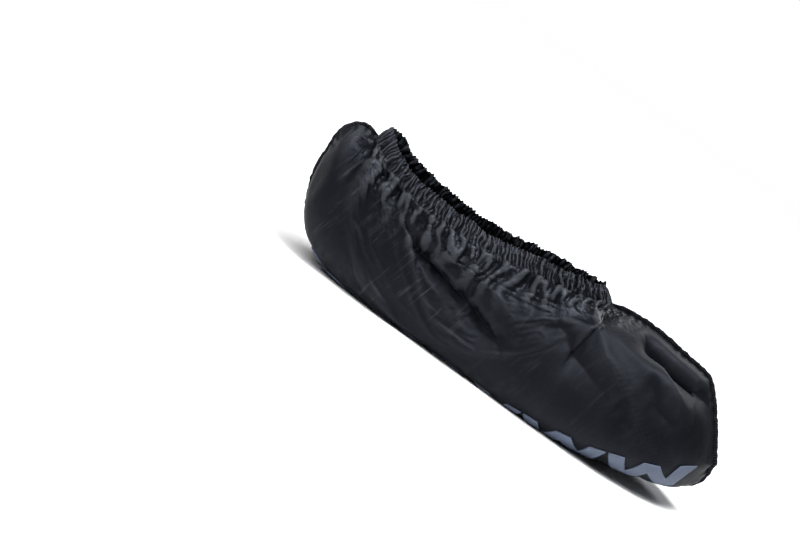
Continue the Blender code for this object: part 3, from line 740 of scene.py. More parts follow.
def finished_cloth(side_name):
    """The outer face of one side as a grid of points, for the side towards +Y, with the places of its points."""
    shift = SHIFTS[side_name]
    at, up = places_of(SETTLED_CELLS, SETTLED_ACROSS)
    start = folded_cloth(at, up, shift)
    fine_at, fine_up = places_of(FINISHED_CELLS, FINISHED_ACROSS)
    made = folded_cloth(fine_at, fine_up, shift)
    wide = start[..., 1] - PANEL_SPACE / 2
    near_hem = 1 - smooth_step(RIM.below(at, up), 0.0, LOOSE_REACH)
    behind = 1 - smooth_step(at, BACK_AT - 0.02, BACK_AT + 0.07)
    ahead = smooth_step(at, FRONT_AT - 0.12, FRONT_AT - 0.02)
    near_hem *= 1 - END_CALM * np.maximum(behind, ahead)
    near_seam = 1 - smooth_step(wide, 0.0, SEAM_LOOSE_REACH)
    sole = 1 - smooth_step(up, TRODDEN_FROM, TRODDEN_TO)
    held = np.maximum(1 - smooth_step(wide, 0.0, SEWN_REACH), sole)
    held[:, -1] = 1.0
    held[0], held[-1] = 1.0, 1.0
    loose = SIDE_LOOSENESS + (1 - SIDE_LOOSENESS) * near_hem + SEAM_LOOSENESS * near_seam
    loose = np.clip(loose, 0, 1) * (1 - sole)
    move = settle(start, held, loose) - start
    move += (averaged(move, CALM_PASSES) - move) * np.maximum(behind, ahead)[..., None]
    rows = np.arange(fine_at.shape[0]) * FINER_DENOMINATOR / FINER_NUMERATOR
    columns = np.arange(fine_at.shape[1]) * SETTLED_ACROSS / FINISHED_ACROSS
    made = made + finer(finer(move, rows, 0), columns, 1)

    out = normals_of(made)
    out[made[..., 1] < PANEL_SPACE / 2 + 1e-5, 1] = 0.0
    sign = SIDES[side_name]
    round_rim = RIM.distance(fine_at[:, -1])[:, None] * np.ones(fine_at.shape)
    along = round_rim if sign < 0 else 2 * RIM.length - round_rim
    mouth_row = (fine_at[:, -1] > BACK_AT) & (fine_at[:, -1] < FRONT_AT)
    below = (1 - fine_up) * PLAIN.girth(fine_at)
    offset = gathers(along, below) * mouth_row[:, None]

    # Puckers that cross the seam, at the same places on both sides
    line, run = seam_line(made)
    wide = made[..., 1] - PANEL_SPACE / 2
    near = wide < PUCKER_REACH
    heel, mouth, _ = FINISHED_CELLS
    near[heel : heel + mouth, FINISHED_ACROSS // 2 :] = False
    beside = nearest_on_line(on_side(made[near], 0.0), line, run)
    wave = np.sin(2 * math.pi * (beside / PUCKER_PITCH + 0.5 * noise_on_line(beside, 0.02, 31)))
    wave *= 0.8 + 0.6 * noise_on_line(beside, 0.015, 32)
    fade = smooth_step(wide[near], 0.0, 0.003) * (1 - smooth_step(wide[near], 0.003, PUCKER_REACH))
    puckers = np.zeros(offset.shape)
    puckers[near] = PUCKER_DEPTH * wave * fade
    offset = offset + puckers

    # Creases left by handling, more of them near the hem and in patches
    mirrored = on_side(made, sign)
    patch = np.clip(0.55 + 0.9 * noise(mirrored, CREASE_PATCH, 41), 0.1, 1.0)
    near_hem = 1 - smooth_step(RIM.below(fine_at, fine_up), CREASE_FROM, CREASE_TO)
    amount = np.clip(patch * (CREASE_SIDE + (1 - CREASE_SIDE) * near_hem), 0, 1)
    free = smooth_step(wide, 0.0, SEWN_REACH) * smooth_step(below, 0.0, CRINKLE_FROM)
    creases = sum(ridged(mirrored, size, seed) * share for size, seed, share in CREASE_LAYERS)
    offset = offset + CREASE_DEPTH * creases * amount * free

    made = made + out * offset[..., None]
    sewn = 1 - smooth_step(PLAIN.points(fine_at, fine_up)[..., 1] - PANEL_SPACE / 2, 0.0, EDGE_HOLD)
    sewn[[0, -1]] = 1.0
    made[..., 1] += (PANEL_SPACE / 2 - made[..., 1]) * sewn
    made[..., 1] = np.maximum(made[..., 1], PANEL_SPACE / 2)
    on_sole = fine_up < 0.5
    made[..., 2] = np.where(on_sole, np.maximum(made[..., 2], SOLE_Z - 0.0004), made[..., 2])
    return made, fine_at, fine_up


def linear(code):
    """An sRGB hex colour as linear red, green, blue and alpha."""
    parts = [int(code[i : i + 2], 16) / 255 for i in (1, 3, 5)]
    return tuple(p / 12.92 if p <= 0.04045 else ((p + 0.055) / 1.055) ** 2.4 for p in parts) + (1.0,)


def add_node(tree, kind, inputs=(), **settings):
    """Adds a node, with its settings, and its inputs given as values or as the sockets that feed them."""
    made = tree.nodes.new(kind)
    for name, value in settings.items():
        setattr(made, name, value)
    for name, value in dict(inputs).items():
        if isinstance(value, bpy.types.NodeSocket):
            tree.links.new(value, made.inputs[name])
        else:
            made.inputs[name].default_value = value
    return made


def new_material(name):
    """A node material with its shader and the object's own coordinates."""
    made = bpy.data.materials.new(name)
    made.use_nodes = True
    tree = made.node_tree
    shader = tree.nodes["Principled BSDF"]
    place = add_node(tree, "ShaderNodeTexCoord").outputs["Object"]
    return made, tree, shader, place


def nonwoven_cloth(name, dark, light, worn, roughness, crush):
    """Spunbond polypropylene with a thin black coat: nearly black, with a waxy sheen that breaks on its creases.

    The coat turns paler where a crease has rubbed it. crush is how deep the small hard creases are where the
    cloth is gathered.
    """
    made, tree, shader, place = new_material(name)
    clouds = add_node(tree, "ShaderNodeTexNoise", {"Vector": place, "Scale": 1 / 0.045, "Detail": 3.0})
    tone = add_node(
        tree, "ShaderNodeMix", {0: clouds.outputs["Fac"], 6: dark, 7: light}, data_type="RGBA"
    ).outputs[2]

    # Crests of creases, rubbed a little paler
    crest = add_node(tree, "ShaderNodeAttribute", attribute_name="crest").outputs["Fac"]
    crinkle = add_node(tree, "ShaderNodeAttribute", attribute_name="crinkle").outputs["Fac"]
    rubbed = add_node(
        tree, "ShaderNodeMapRange", {"Value": crest, "From Min": 0.55, "From Max": 1.0, "To Max": 0.45}
    ).outputs[0]
    rubbed = add_node(tree, "ShaderNodeMath", {0: rubbed, 1: crinkle}, operation="MULTIPLY").outputs[0]
    tone = add_node(tree, "ShaderNodeMix", {0: rubbed, 6: tone, 7: worn}, data_type="RGBA").outputs[2]

    # Pale streaks up the heel, 30 mm long, and a painted sheen band along the edge that it stands on, where the pale
    # floor would reflect
    across = add_node(tree, "ShaderNodeSeparateXYZ", {0: place}).outputs
    heel = add_node(
        tree, "ShaderNodeMapRange", {"Value": across["X"], "From Min": 0.04, "From Max": -0.08, "To Min": 0.2}
    ).outputs[0]
    slant = add_node(
        tree,
        "ShaderNodeMapping",
        {"Vector": place, "Rotation": (0.0, -1.3, 0.0), "Scale": (1.0, 1.0, 1 / 9)},
        vector_type="TEXTURE",
    ).outputs[0]
    streak = add_node(
        tree,
        "ShaderNodeTexNoise",
        {"Vector": slant, "Scale": 1 / 0.030, "Detail": 5.0, "Roughness": 0.6, "Distortion": 0.5},
    )
    patches = add_node(
        tree, "ShaderNodeMapRange", {"Value": clouds.outputs["Fac"], "From Min": 0.42, "From Max": 0.60}
    ).outputs[0]
    streaks_and_sheen = add_node(
        tree,
        "ShaderNodeMapRange",
        {"Value": streak.outputs["Fac"], "From Min": 0.56, "From Max": 0.80, "To Max": 0.60},
    ).outputs[0]
    streaks_and_sheen = add_node(tree, "ShaderNodeMath", {0: streaks_and_sheen, 1: patches}, operation="MULTIPLY").outputs[0]
    # Painted sheen: a patchy pale band from 4 to 34 mm up, fullest at about 15 mm, that stands in for the pale floor's
    # reflection along the lower edge
    band = clouds.outputs["Fac"]
    for empty, full in ((0.034, 0.016), (0.004, 0.014)):
        edge = add_node(tree, "ShaderNodeMapRange", {"Value": across["Z"], "From Min": empty, "From Max": full})
        band = add_node(tree, "ShaderNodeMath", {0: edge.outputs[0], 1: band}, operation="MULTIPLY").outputs[0]
    streaks_and_sheen = add_node(tree, "ShaderNodeMath", {0: band, 1: 0.10, 2: streaks_and_sheen}, operation="MULTIPLY_ADD").outputs[0]
    streaks_and_sheen = add_node(tree, "ShaderNodeMath", {0: streaks_and_sheen, 1: heel}, operation="MULTIPLY").outputs[0]
    # The pale streaks and the painted sheen band are mixed towards the worn colour, fully at the heel and at a fifth
    # from the middle forwards
    tone = add_node(tree, "ShaderNodeMix", {0: streaks_and_sheen, 6: tone, 7: worn}, data_type="RGBA").outputs[2]
    tree.links.new(tone, shader.inputs["Base Color"])

    # Creasing polishes the coat
    flat_roughness, creased_roughness = roughness
    rough = add_node(
        tree, "ShaderNodeMapRange", {"Value": crinkle, "To Min": flat_roughness, "To Max": creased_roughness}
    ).outputs[0]
    rough = add_node(
        tree, "ShaderNodeMath", {0: clouds.outputs["Fac"], 1: 0.16, 2: rough}, operation="MULTIPLY_ADD"
    ).outputs[0]
    tree.links.new(rough, shader.inputs["Roughness"])

    # Hard creases, 5 and 2.2 mm apart, where it is gathered, and the bonded fibres, 0.3 mm in the real cloth and
    # drawn at 0.8 mm to show
    warp = add_node(tree, "ShaderNodeTexNoise", {"Vector": place, "Scale": 1 / 0.012, "Detail": 1.0})
    pushed = add_node(
        tree, "ShaderNodeVectorMath", {0: warp.outputs["Color"], 1: (0.008,) * 3}, operation="MULTIPLY"
    ).outputs[0]
    pushed = add_node(tree, "ShaderNodeVectorMath", {0: pushed, 1: place}, operation="ADD").outputs[0]
    fibres = add_node(tree, "ShaderNodeTexNoise", {"Vector": place, "Scale": 1 / 0.0008, "Detail": 2.0})
    normal = add_node(tree, "ShaderNodeBump", {"Height": fibres.outputs["Fac"], "Distance": 0.00004}).outputs[0]
    for size, share in ((0.0050, 1.0), (0.0022, 0.45)):
        facets = add_node(tree, "ShaderNodeTexVoronoi", {"Vector": pushed, "Scale": 1 / size})
        normal = add_node(
            tree,
            "ShaderNodeBump",
            {
                "Height": facets.outputs["Distance"],
                "Distance": crush * share,
                "Strength": crinkle,
                "Normal": normal,
            },
        ).outputs[0]
    tree.links.new(normal, shader.inputs["Normal"])
    shader.inputs["Specular IOR Level"].default_value = 0.09
    shader.inputs["Specular Tint"].default_value = linear("#dce6ff")
    return made


def polyester_thread(name, colour):
    """Textured polyester overlock thread: matt, with a slight lustre along its filaments."""
    made, tree, shader, place = new_material(name)
    twist = add_node(
        tree,
        "ShaderNodeTexWave",
        {"Vector": place, "Scale": 1 / 0.0045, "Distortion": 1.5},
        bands_direction="DIAGONAL",
    )
    normal = add_node(tree, "ShaderNodeBump", {"Height": twist.outputs["Fac"], "Distance": 0.0001}).outputs[0]
    tree.links.new(normal, shader.inputs["Normal"])
    clouds = add_node(tree, "ShaderNodeTexNoise", {"Vector": place, "Scale": 1 / 0.006})
    darker = tuple(part * 0.6 for part in colour[:3]) + (1.0,)
    tone = add_node(
        tree, "ShaderNodeMix", {0: clouds.outputs["Fac"], 6: darker, 7: colour}, data_type="RGBA"
    ).outputs[2]
    tree.links.new(tone, shader.inputs["Base Color"])
    shader.inputs["Roughness"].default_value = 0.62
    return made


def printed_rubber(name, colour, edge):
    """Soft rubber printed through a screen and cured: matt, with the pimples that the screen leaves."""
    made, tree, shader, place = new_material(name)
    dots = add_node(
        tree, "ShaderNodeTexVoronoi", {"Vector": place, "Scale": 1 / 0.0013, "Randomness": 0.35}
    )
    clouds = add_node(tree, "ShaderNodeTexNoise", {"Vector": place, "Scale": 1 / 0.009, "Detail": 4.0})
    mixed = add_node(
        tree, "ShaderNodeMath", {0: clouds.outputs["Fac"], 1: dots.outputs["Distance"]}, operation="ADD"
    ).outputs[0]
    share = add_node(
        tree, "ShaderNodeMapRange", {"Value": mixed, "From Min": 0.5, "From Max": 1.25}
    ).outputs[0]
    tone = add_node(tree, "ShaderNodeMix", {0: share, 6: colour, 7: edge}, data_type="RGBA").outputs[2]
    tree.links.new(tone, shader.inputs["Base Color"])
    normal = add_node(
        tree, "ShaderNodeBump", {"Height": dots.outputs["Distance"], "Distance": 0.0002}, invert=True
    ).outputs[0]
    tree.links.new(normal, shader.inputs["Normal"])
    shader.inputs["Roughness"].default_value = 0.70
    return made


def turn_faces(piece, turn, **how):
    """Turns the faces of a piece with one of the edit mode operators."""
    select_only(piece)
    bpy.ops.object.mode_set(mode="EDIT")
    bpy.ops.mesh.select_all(action="SELECT")
    turn(**how)
    bpy.ops.object.mode_set(mode="OBJECT")


def face_outwards(piece):
    """Turns every face of a closed piece outwards."""
    turn_faces(piece, bpy.ops.mesh.normals_make_consistent, inside=False)


def finish_piece(piece, material, replaced=()):
    """Gives a piece its material and its place on the frame."""
    select_only(piece)
    bpy.ops.object.shade_smooth()
    piece.data.materials.clear()
    piece.data.materials.append(material)
    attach(piece, "root")
    if replaced:
        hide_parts(*replaced)


def mark_points(piece, name, values):
    """Stores one value for each point of a piece, for its material."""
    stored = piece.data.attributes.new(name, "FLOAT", "POINT")
    stored.data.foreach_set("value", np.asarray(values, np.float32).reshape(-1))


def mark_crests(piece, points):
    """Stores how far each point stands out from the cloth round it, 0.5 where it is flat and 1 on a sharp crest."""
    stands = np.sum((points - averaged(points, CREST_PASSES)) * normals_of(points), axis=-1)
    mark_points(piece, "crest", np.clip(0.5 + stands / CREST_FULL / 2, 0, 1))


def outer_face(side_name):
    """The finished outer face of one side as a grid, for the side towards +Y, with the places of its points."""
    piece = bpy.data.objects.get(f"{side_name}_side_cloth")
    if piece is None:
        raise RuntimeError("the side cloth comes first")
    at, up = places_of(FINISHED_CELLS, FINISHED_ACROSS)
    found = np.empty(len(piece.data.vertices) * 3, np.float32)
    piece.data.vertices.foreach_get("co", found)
    points = found.reshape(-1, 3)[: at.size].reshape(*at.shape, 3).astype(float)
    return on_side(points, SIDES[side_name]), at, up


class SideCloth(bpy.types.Operator):
    """Settles the cloth of both sides into its wrinkles"""

    bl_idname = "overshoe.side_cloth"
    bl_label = "Side Cloth"

    def execute(self, context):
        cloth = context.scene.overshoe_cloth
        finish = nonwoven_cloth(
            "coated spunbond polypropylene", cloth.dark, cloth.light, cloth.worn, (0.48, 0.24), cloth.crush
        )
        for side_name, sign in SIDES.items():
            points, at, up = finished_cloth(side_name)
            rows, columns = at.shape
            faces = grid_faces(rows, columns, turned=sign < 0)
            piece = mesh_object(f"{side_name}_side_cloth", on_side(points, sign), faces)
            mark_crests(piece, points)
            crinkle = 1 - smooth_step(RIM.below(at, up), CRINKLE_FROM, CRINKLE_TO)
            mark_points(piece, "crinkle", CRINKLE_LEAST + (1 - CRINKLE_LEAST) * crinkle)
            wall = piece.modifiers.new("thickness", "SOLIDIFY")
            wall.thickness = cloth.thickness
            wall.offset = -1.0
            apply_modifiers(piece)
            finish_piece(piece, finish, [f"{side_name}_panel"])
        return {"FINISHED"}


class GatheredHem(bpy.types.Operator):
    """Folds the cloth over its elastic round the opening, in fine pleats"""

    bl_idname = "overshoe.gathered_hem"
    bl_label = "Gathered Hem"

    def execute(self, context):
        cloth = context.scene.overshoe_cloth
        finish = nonwoven_cloth(
            "crinkled elastic casing", cloth.dark, cloth.light, cloth.worn, (0.26, 0.26), cloth.crush
        )
        half = {}
        for side_name, sign in SIDES.items():
            at = np.array(even_places(BACK_AT, FRONT_AT, FINE_STEPS, top_point))
            edge = folded_cloth(at, np.ones(at.shape), SHIFTS[side_name])
            edge[:, 1] -= PANEL_SPACE / 2
            half[side_name] = on_side(edge, sign)
        loop = np.concatenate([half["right"], half["left"][::-1][1:]])
        run = distances(loop)
        places = np.arange(HEM_STEPS) / HEM_STEPS
        line = read_line(places * run[-1], run, loop)
        for _ in range(HEM_SMOOTHING):
            line = (np.roll(line, 1, axis=0) + 2 * line + np.roll(line, -1, axis=0)) / 4
        along = places * 2 * RIM.length
        points = hem_points(line, along)
        faces = grid_faces(HEM_STEPS, HEM_CORNERS, round_rows=True, round_columns=True)
        piece = mesh_object("gathered_hem", points, faces)
        mark_points(piece, "crest", self.stands_out(points))
        mark_points(piece, "crinkle", np.ones(points.shape[:2]))
        face_outwards(piece)
        finish_piece(piece, finish, ["elastic_hem"])
        return {"FINISHED"}

    def stands_out(self, points):
        """How far each ring stands out from those beside it, 0.5 where it doesn't."""
        beside = sum(np.roll(points, step, axis=0) for step in (-4, -3, 3, 4)) / 4
        centre = points.mean(axis=1, keepdims=True)
        out = centre - centre.mean(axis=0)
        out[..., 2] = 0.0
        out = unit(out)
        return np.clip(0.5 + np.sum((points - beside) * out, axis=-1) / HEM_CREST_FULL, 0, 1)


def hem_points(line, along):
    """Rings of points round the folded hem, each from its foot up the outside and down the inside."""
    ahead = unit(np.roll(line, -12, axis=0) - np.roll(line, 12, axis=0))
    inwards = line.mean(axis=0) - line
    inwards[:, 2] = 0.0
    inwards = unit(inwards)
    forwards = smooth_step(line[:, 0], -LENGTH / 2, LENGTH / 5)
    end_lean = HEM_LEAN_HEEL + forwards * (HEM_LEAN_TOE - HEM_LEAN_HEEL)
    lean = (HEM_LEAN_SIDE + ahead[:, 1] ** 2 * (end_lean - HEM_LEAN_SIDE))[:, None]
    upright = inwards * np.sin(lean) + np.array([0.0, 0.0, 1.0]) * np.cos(lean)
    upright = unit(upright - ahead * np.sum(upright * ahead, axis=-1, keepdims=True))
    outwards = np.cross(ahead, upright)

    turn = 2 * math.pi * np.arange(HEM_CORNERS) / HEM_CORNERS
    way = ((1 - np.cos(turn)) / 2)[None, :]
    face = (np.sign(np.sin(turn)) * np.abs(np.sin(turn)) ** 0.6)[None, :]
    ring = along[:, None] + np.zeros((1, HEM_CORNERS))
    tall = HEM_TALL * (1 + HEM_UNEVEN * noise_on_line(ring, HEM_UNEVEN_SIZE, 51))
    tall = tall + HEM_JAGGED * gather_wave(HEM_PLEATS[0], ring, ring * 0)
    height = -HEM_BELOW + (tall + HEM_BELOW) * way
    thick = HEM_EDGE_HALF_THICK + (HEM_HALF_THICK - HEM_EDGE_HALF_THICK) * (1 - smooth_step(way, 0.72, 0.95))
    for row in HEM_STITCH_ROWS:
        thick = thick - HEM_STITCH_DEPTH * np.exp(-(((way - row) / HEM_STITCH_HALF_WIDTH) ** 2))
    ends = smooth_step(np.abs(np.where(ring > RIM.length, 2 * RIM.length - ring, ring)), 0.0, HEM_END)
    ends = ends * smooth_step(np.abs(RIM.length - ring), 0.0, HEM_END)
    ends = HEM_END_PLEATS + (1 - HEM_END_PLEATS) * ends
    pleat = np.zeros(ring.shape)
    for gather in HEM_PLEATS:
        pleat = pleat + gather.depth * gather_wave(gather, ring + height * HEM_SLANT, height * 0.8)
    pleat = pleat * ends * (0.55 + 0.45 * smooth_step(way, 0.0, 0.30) + 0.25 * smooth_step(way, 0.75, 1.0))
    across = np.maximum(thick, 0.0004) * face + pleat
    return line[:, None, :] + upright[:, None, :] * height[..., None] + outwards[:, None, :] * across[..., None]


def closed_rings(rings, corners):
    """The faces of rings of points in a row, capped at both ends."""
    last = (rings - 1) * corners
    caps = [list(range(corners)), [last + k for k in reversed(range(corners))]]
    return grid_faces(rings, corners, round_columns=True) + caps


def tube(points, radius, corners):
    """Points and faces of a closed tube round a line, capped at both ends."""
    ahead = unit(np.gradient(points, axis=0))
    side = unit(np.cross(ahead, np.array([0.31, 0.17, 0.93])))
    other = np.cross(ahead, side)
    turn = 2 * math.pi * np.arange(corners) / corners
    rings = points[:, None] + radius * (
        side[:, None] * np.cos(turn)[None, :, None] + other[:, None] * np.sin(turn)[None, :, None]
    )
    return rings.reshape(-1, 3), closed_rings(len(points), corners)


def seam_frame():
    """Points along the seam, the way out of the overshoe there, how much of a fin it is and the distance along."""
    right, left = outer_face("right")[0], outer_face("left")[0]
    line, run = seam_line((right + left) / 2)
    distance = np.arange(SEAM_STOP, run[-1] - SEAM_STOP, SEAM_STEP)
    line = read_line(distance, run, line)
    for _ in range(SEAM_SMOOTHING):
        line[1:-1] = (line[:-2] + 2 * line[1:-1] + line[2:]) / 4
    ahead = unit(np.gradient(line, axis=0))
    out = np.column_stack([-ahead[:, 2], np.zeros(len(line)), ahead[:, 0]])
    fin = smooth_step(line[:, 2] - SOLE_Z, SEAM_FIN_FROM, SEAM_FIN_TO)
    return line, out, fin, distance, run[-1]


def seam_section(distance, fin, turn, swell, length):
    """How far out and how far aside of the seam's line each corner is. swell makes the outline larger."""
    tuck = smooth_step(distance, SEAM_STOP, SEAM_TUCK)
    tuck = tuck * (1 - smooth_step(distance, length - SEAM_TUCK, length - SEAM_STOP))
    half = (SEAM_BAND + (SEAM_FIN - SEAM_BAND) * fin) / 2 + swell
    tall = SEAM_BAND_TALL + (SEAM_FIN_TALL - SEAM_BAND_TALL) * fin
    tall = SEAM_END_TALL + (tall - SEAM_END_TALL) * tuck + swell
    ragged = SEAM_RAGGED * fin * tuck * noise_on_line(distance, SEAM_RAGGED_SIZE, 61)
    rib = SEAM_RIB * np.sin(2 * math.pi * distance / LOOP_PITCH)
    aside = np.sign(np.cos(turn)) * np.abs(np.cos(turn)) ** 0.6 * (half + rib * fin)
    outward = np.sign(np.sin(turn)) * np.abs(np.sin(turn)) ** 0.6
    middle = (tall - SEAM_SUNK) / 2
    out = middle + outward * (tall + SEAM_SUNK) / 2 + (outward > 0) * (ragged + rib * (1 - fin))
    sway = SEAM_SWAY * fin * np.sin(2 * math.pi * distance / SEAM_SWAY_PITCH + 3 * noise_on_line(distance, 0.03, 62))
    return out, aside + sway * (outward + 1) / 2


class OverlockedSeam(bpy.types.Operator):
    """Sews the two sides together: a flat band under the sole and a narrow fin elsewhere, whipped with thread"""

    bl_idname = "overshoe.overlocked_seam"
    bl_label = "Overlocked Seam"

    def execute(self, context):
        cloth = context.scene.overshoe_cloth
        line, out, fin, distance, length = seam_frame()
        turn = 2 * math.pi * np.arange(SEAM_CORNERS) / SEAM_CORNERS
        outwards, aside = seam_section(distance[:, None], fin[:, None], turn[None, :], 0.0, length)
        points = line[:, None, :] + out[:, None, :] * outwards[..., None]
        points[..., 1] += aside
        points[..., 2] = np.maximum(points[..., 2], LEAST_Z)
        band = mesh_object("seam_allowance", points, closed_rings(len(line), SEAM_CORNERS))
        face_outwards(band)
        finish = nonwoven_cloth(
            "turned cloth edges", cloth.dark, cloth.light, cloth.worn, (0.50, 0.50), cloth.crush * 0.5
        )
        finish_piece(band, finish, ["centre_seam"])

        count = int((distance[-1] - distance[0]) / LOOP_PITCH * LOOP_POINTS)
        travel = np.linspace(distance[0], distance[-1], count)
        loop_fin = np.interp(travel, distance, fin)
        loop_turn = 2 * math.pi * travel / LOOP_PITCH
        outwards, aside = seam_section(travel, loop_fin, loop_turn, LOOP_THREAD * 0.5, length)
        path = read_line(travel, distance, line) + read_line(travel, distance, out) * outwards[:, None]
        path[:, 1] += aside
        path[:, 2] = np.maximum(path[:, 2], LOOP_THREAD + 0.0001)
        thread = mesh_object("overlock_thread", *tube(path, LOOP_THREAD, 5))
        face_outwards(thread)
        finish_piece(thread, polyester_thread("textured polyester thread", cloth.thread))
        return {"FINISHED"}


def zigzag_strokes():
    """The four strokes of one zigzag unit as quads in metres, along the row and across it."""
    quarter, width, split = GRIP_PITCH / 2, GRIP_STROKE, GRIP_SPLIT / 2
    half = width / 2
    end_share = (2 * quarter - 3 * half - split) / (2 * quarter - half - split)
    end_notch = (2 * quarter - half - quarter * end_share, GRIP_ROW_TALL * end_share)
    other_notch = (4 * quarter - end_notch[0], end_notch[1])
    middle_notch = (2 * quarter, GRIP_ROW_TALL * half / quarter)
    pairs = [
        ((split, 0.0), (split + width, 0.0)),
        ((quarter - half, GRIP_ROW_TALL), end_notch),
        ((quarter + half, GRIP_ROW_TALL), end_notch),
        (middle_notch, (2 * quarter - half, 0.0)),
        (middle_notch, (2 * quarter + half, 0.0)),
        ((3 * quarter - half, GRIP_ROW_TALL), other_notch),
        ((3 * quarter + half, GRIP_ROW_TALL), other_notch),
        ((4 * quarter - split, 0.0), (4 * quarter - split - width, 0.0)),
    ]
    return [(a, b, d, c) for (a, c), (b, d) in zip(pairs, pairs[1:])]


def inside_quad(x, y, quad):
    """Whether a point is inside a convex quad, whose corners may run either way round."""
    turns = []
    for (ax, ay), (bx, by) in zip(quad, quad[1:] + quad[:1]):
        if math.hypot(bx - ax, by - ay) > 1e-7:
            turns.append((bx - ax) * (y - ay) - (by - ay) * (x - ax))
    return all(turn >= 0 for turn in turns) or all(turn <= 0 for turn in turns)


def flat_zigzag():
    """One zigzag unit laid flat: a gridded plane that is cut along the strokes' edges and cleared round them."""
    length = 2 * GRIP_PITCH
    bpy.ops.object.select_all(action="DESELECT")
    bpy.ops.mesh.primitive_grid_add(
        x_subdivisions=round(length / GRIP_CELL),
        y_subdivisions=round(GRIP_ROW_TALL / GRIP_CELL),
        size=1.0,
        location=(length / 2, GRIP_ROW_TALL / 2, 0.0),
    )
    flat = bpy.context.object
    flat.name = "flat_zigzag"
    bpy.ops.object.mode_set(mode="EDIT")
    bpy.ops.transform.resize(value=(length, GRIP_ROW_TALL, 1.0))
    strokes = zigzag_strokes()
    for quad in strokes:
        for (ax, ay), (bx, by) in ((quad[0], quad[1]), (quad[3], quad[2])):
            if math.hypot(bx - ax, by - ay) > 1e-7:
                bpy.ops.mesh.select_all(action="SELECT")
                bpy.ops.mesh.bisect(plane_co=(ax, ay, 0.0), plane_no=Vector((by - ay, ax - bx, 0.0)).normalized())
    bpy.ops.mesh.select_all(action="DESELECT")
    bpy.ops.mesh.select_mode(type="FACE")
    shape = bmesh.from_edit_mesh(flat.data)
    corner = flat.matrix_world.translation
    for face in shape.faces:
        middle = face.calc_center_median() + corner
        face.select_set(not any(inside_quad(middle.x, middle.y, quad) for quad in strokes))
    bmesh.update_edit_mesh(flat.data)
    bpy.ops.mesh.delete(type="FACE")
    bpy.ops.mesh.select_all(action="SELECT")
    bpy.ops.mesh.remove_doubles(threshold=GRIP_MERGE)
    bpy.ops.object.mode_set(mode="OBJECT")
    bpy.ops.object.transform_apply(location=True, rotation=True, scale=True)
    return flat


class Grip(bpy.types.Operator):
    """Prints the zigzag grip on the sole, one raised unit after another, in two rows on each side"""

    bl_idname = "overshoe.grip"
    bl_label = "Grip"

    def execute(self, context):
        grip = context.scene.overshoe_grip
        finish = printed_rubber("screen-printed grip rubber", grip.colour, grip.edge)
        flat = flat_zigzag()
        inner_end = GRIP_FIRST_ROW + GRIP_ROW_TALL
        outer_start = inner_end + GRIP_ROW_SPACE
        rows = {"inner": (GRIP_FIRST_ROW, inner_end), "outer": (outer_start + GRIP_ROW_TALL, outer_start)}
        centre = PLAIN.table[:, 0]
        run = distances(centre)
        run -= np.interp(GRIP_HEEL_START / LENGTH, PLAIN.ats, run)
        for side_name, sign in SIDES.items():
            points, at, up = outer_face(side_name)
            normals = normals_of(points)
            for row_name, (row_from, row_to) in rows.items():
                for i in range(GRIP_UNITS):
                    name = f"{side_name}_{row_name}_{i + 1}"
                    piece = flat.copy()
                    piece.data = flat.data.copy()
                    piece.name = piece.data.name = f"grip_{name}"
                    context.scene.collection.objects.link(piece)
                    place = np.array([vert.co[:2] for vert in piece.data.vertices])
                    there = np.interp(place[:, 0] + 2 * GRIP_PITCH * i, run, PLAIN.ats)
                    across = row_from + (row_to - row_from) * place[:, 1] / GRIP_ROW_TALL
                    spread = np.array([read_column("spread", value) for value in there])
                    way = across * spread / PLAIN.girth(there)
                    column = way * FINISHED_ACROSS
                    rows_at = [
                        np.interp(value, on_grid(at[..., None], np.arange(len(at)), np.full(len(at), c))[:, 0],
                                  np.arange(len(at)))
                        for value, c in zip(there, column)
                    ]
                    laid = on_grid(points, np.array(rows_at), column)
                    out = on_grid(normals, np.array(rows_at), column)
                    self.lay(piece, laid, out, sign)
                    wall = piece.modifiers.new("thickness", "SOLIDIFY")
                    wall.thickness = grip.thickness
                    wall.offset = 1.0
                    edge = piece.modifiers.new("soft edge", "BEVEL")
                    edge.width = GRIP_SOFT_EDGE
                    edge.segments = 2
                    edge.angle_limit = math.radians(55)
                    apply_modifiers(piece)
                    for vert in piece.data.vertices:
                        vert.co.z = max(vert.co.z, LEAST_Z)
                    face_outwards(piece)
                    finish_piece(piece, finish, [f"tread_{name}"])
        bpy.data.objects.remove(flat)
        return {"FINISHED"}

    def lay(self, piece, laid, out, sign):
        """Moves the flat unit's points onto the cloth, and turns its faces outwards."""
        laid, out = on_side(laid + out * GRIP_LIFT, sign), on_side(out, sign)
        piece.data.vertices.foreach_set("co", laid.astype(np.float32).reshape(-1))
        piece.data.update()
        facing = sum(
            polygon.area * float(np.dot(polygon.normal, out[polygon.vertices[0]])) for polygon in piece.data.polygons
        )
        if facing < 0:
            turn_faces(piece, bpy.ops.mesh.flip_normals)


def area_light(name, place, target, size, power, colour):
    """A soft box at a place, turned to a target."""
    light = bpy.data.lights.new(name, "AREA")
    light.shape = "RECTANGLE"
    light.size, light.size_y = size
    light.energy = power
    light.color = colour
    made = bpy.data.objects.new(name, light)
    made.location = place
    made.rotation_euler = (Vector(target) - Vector(place)).to_track_quat("-Z", "Y").to_euler()
    bpy.context.scene.collection.objects.link(made)


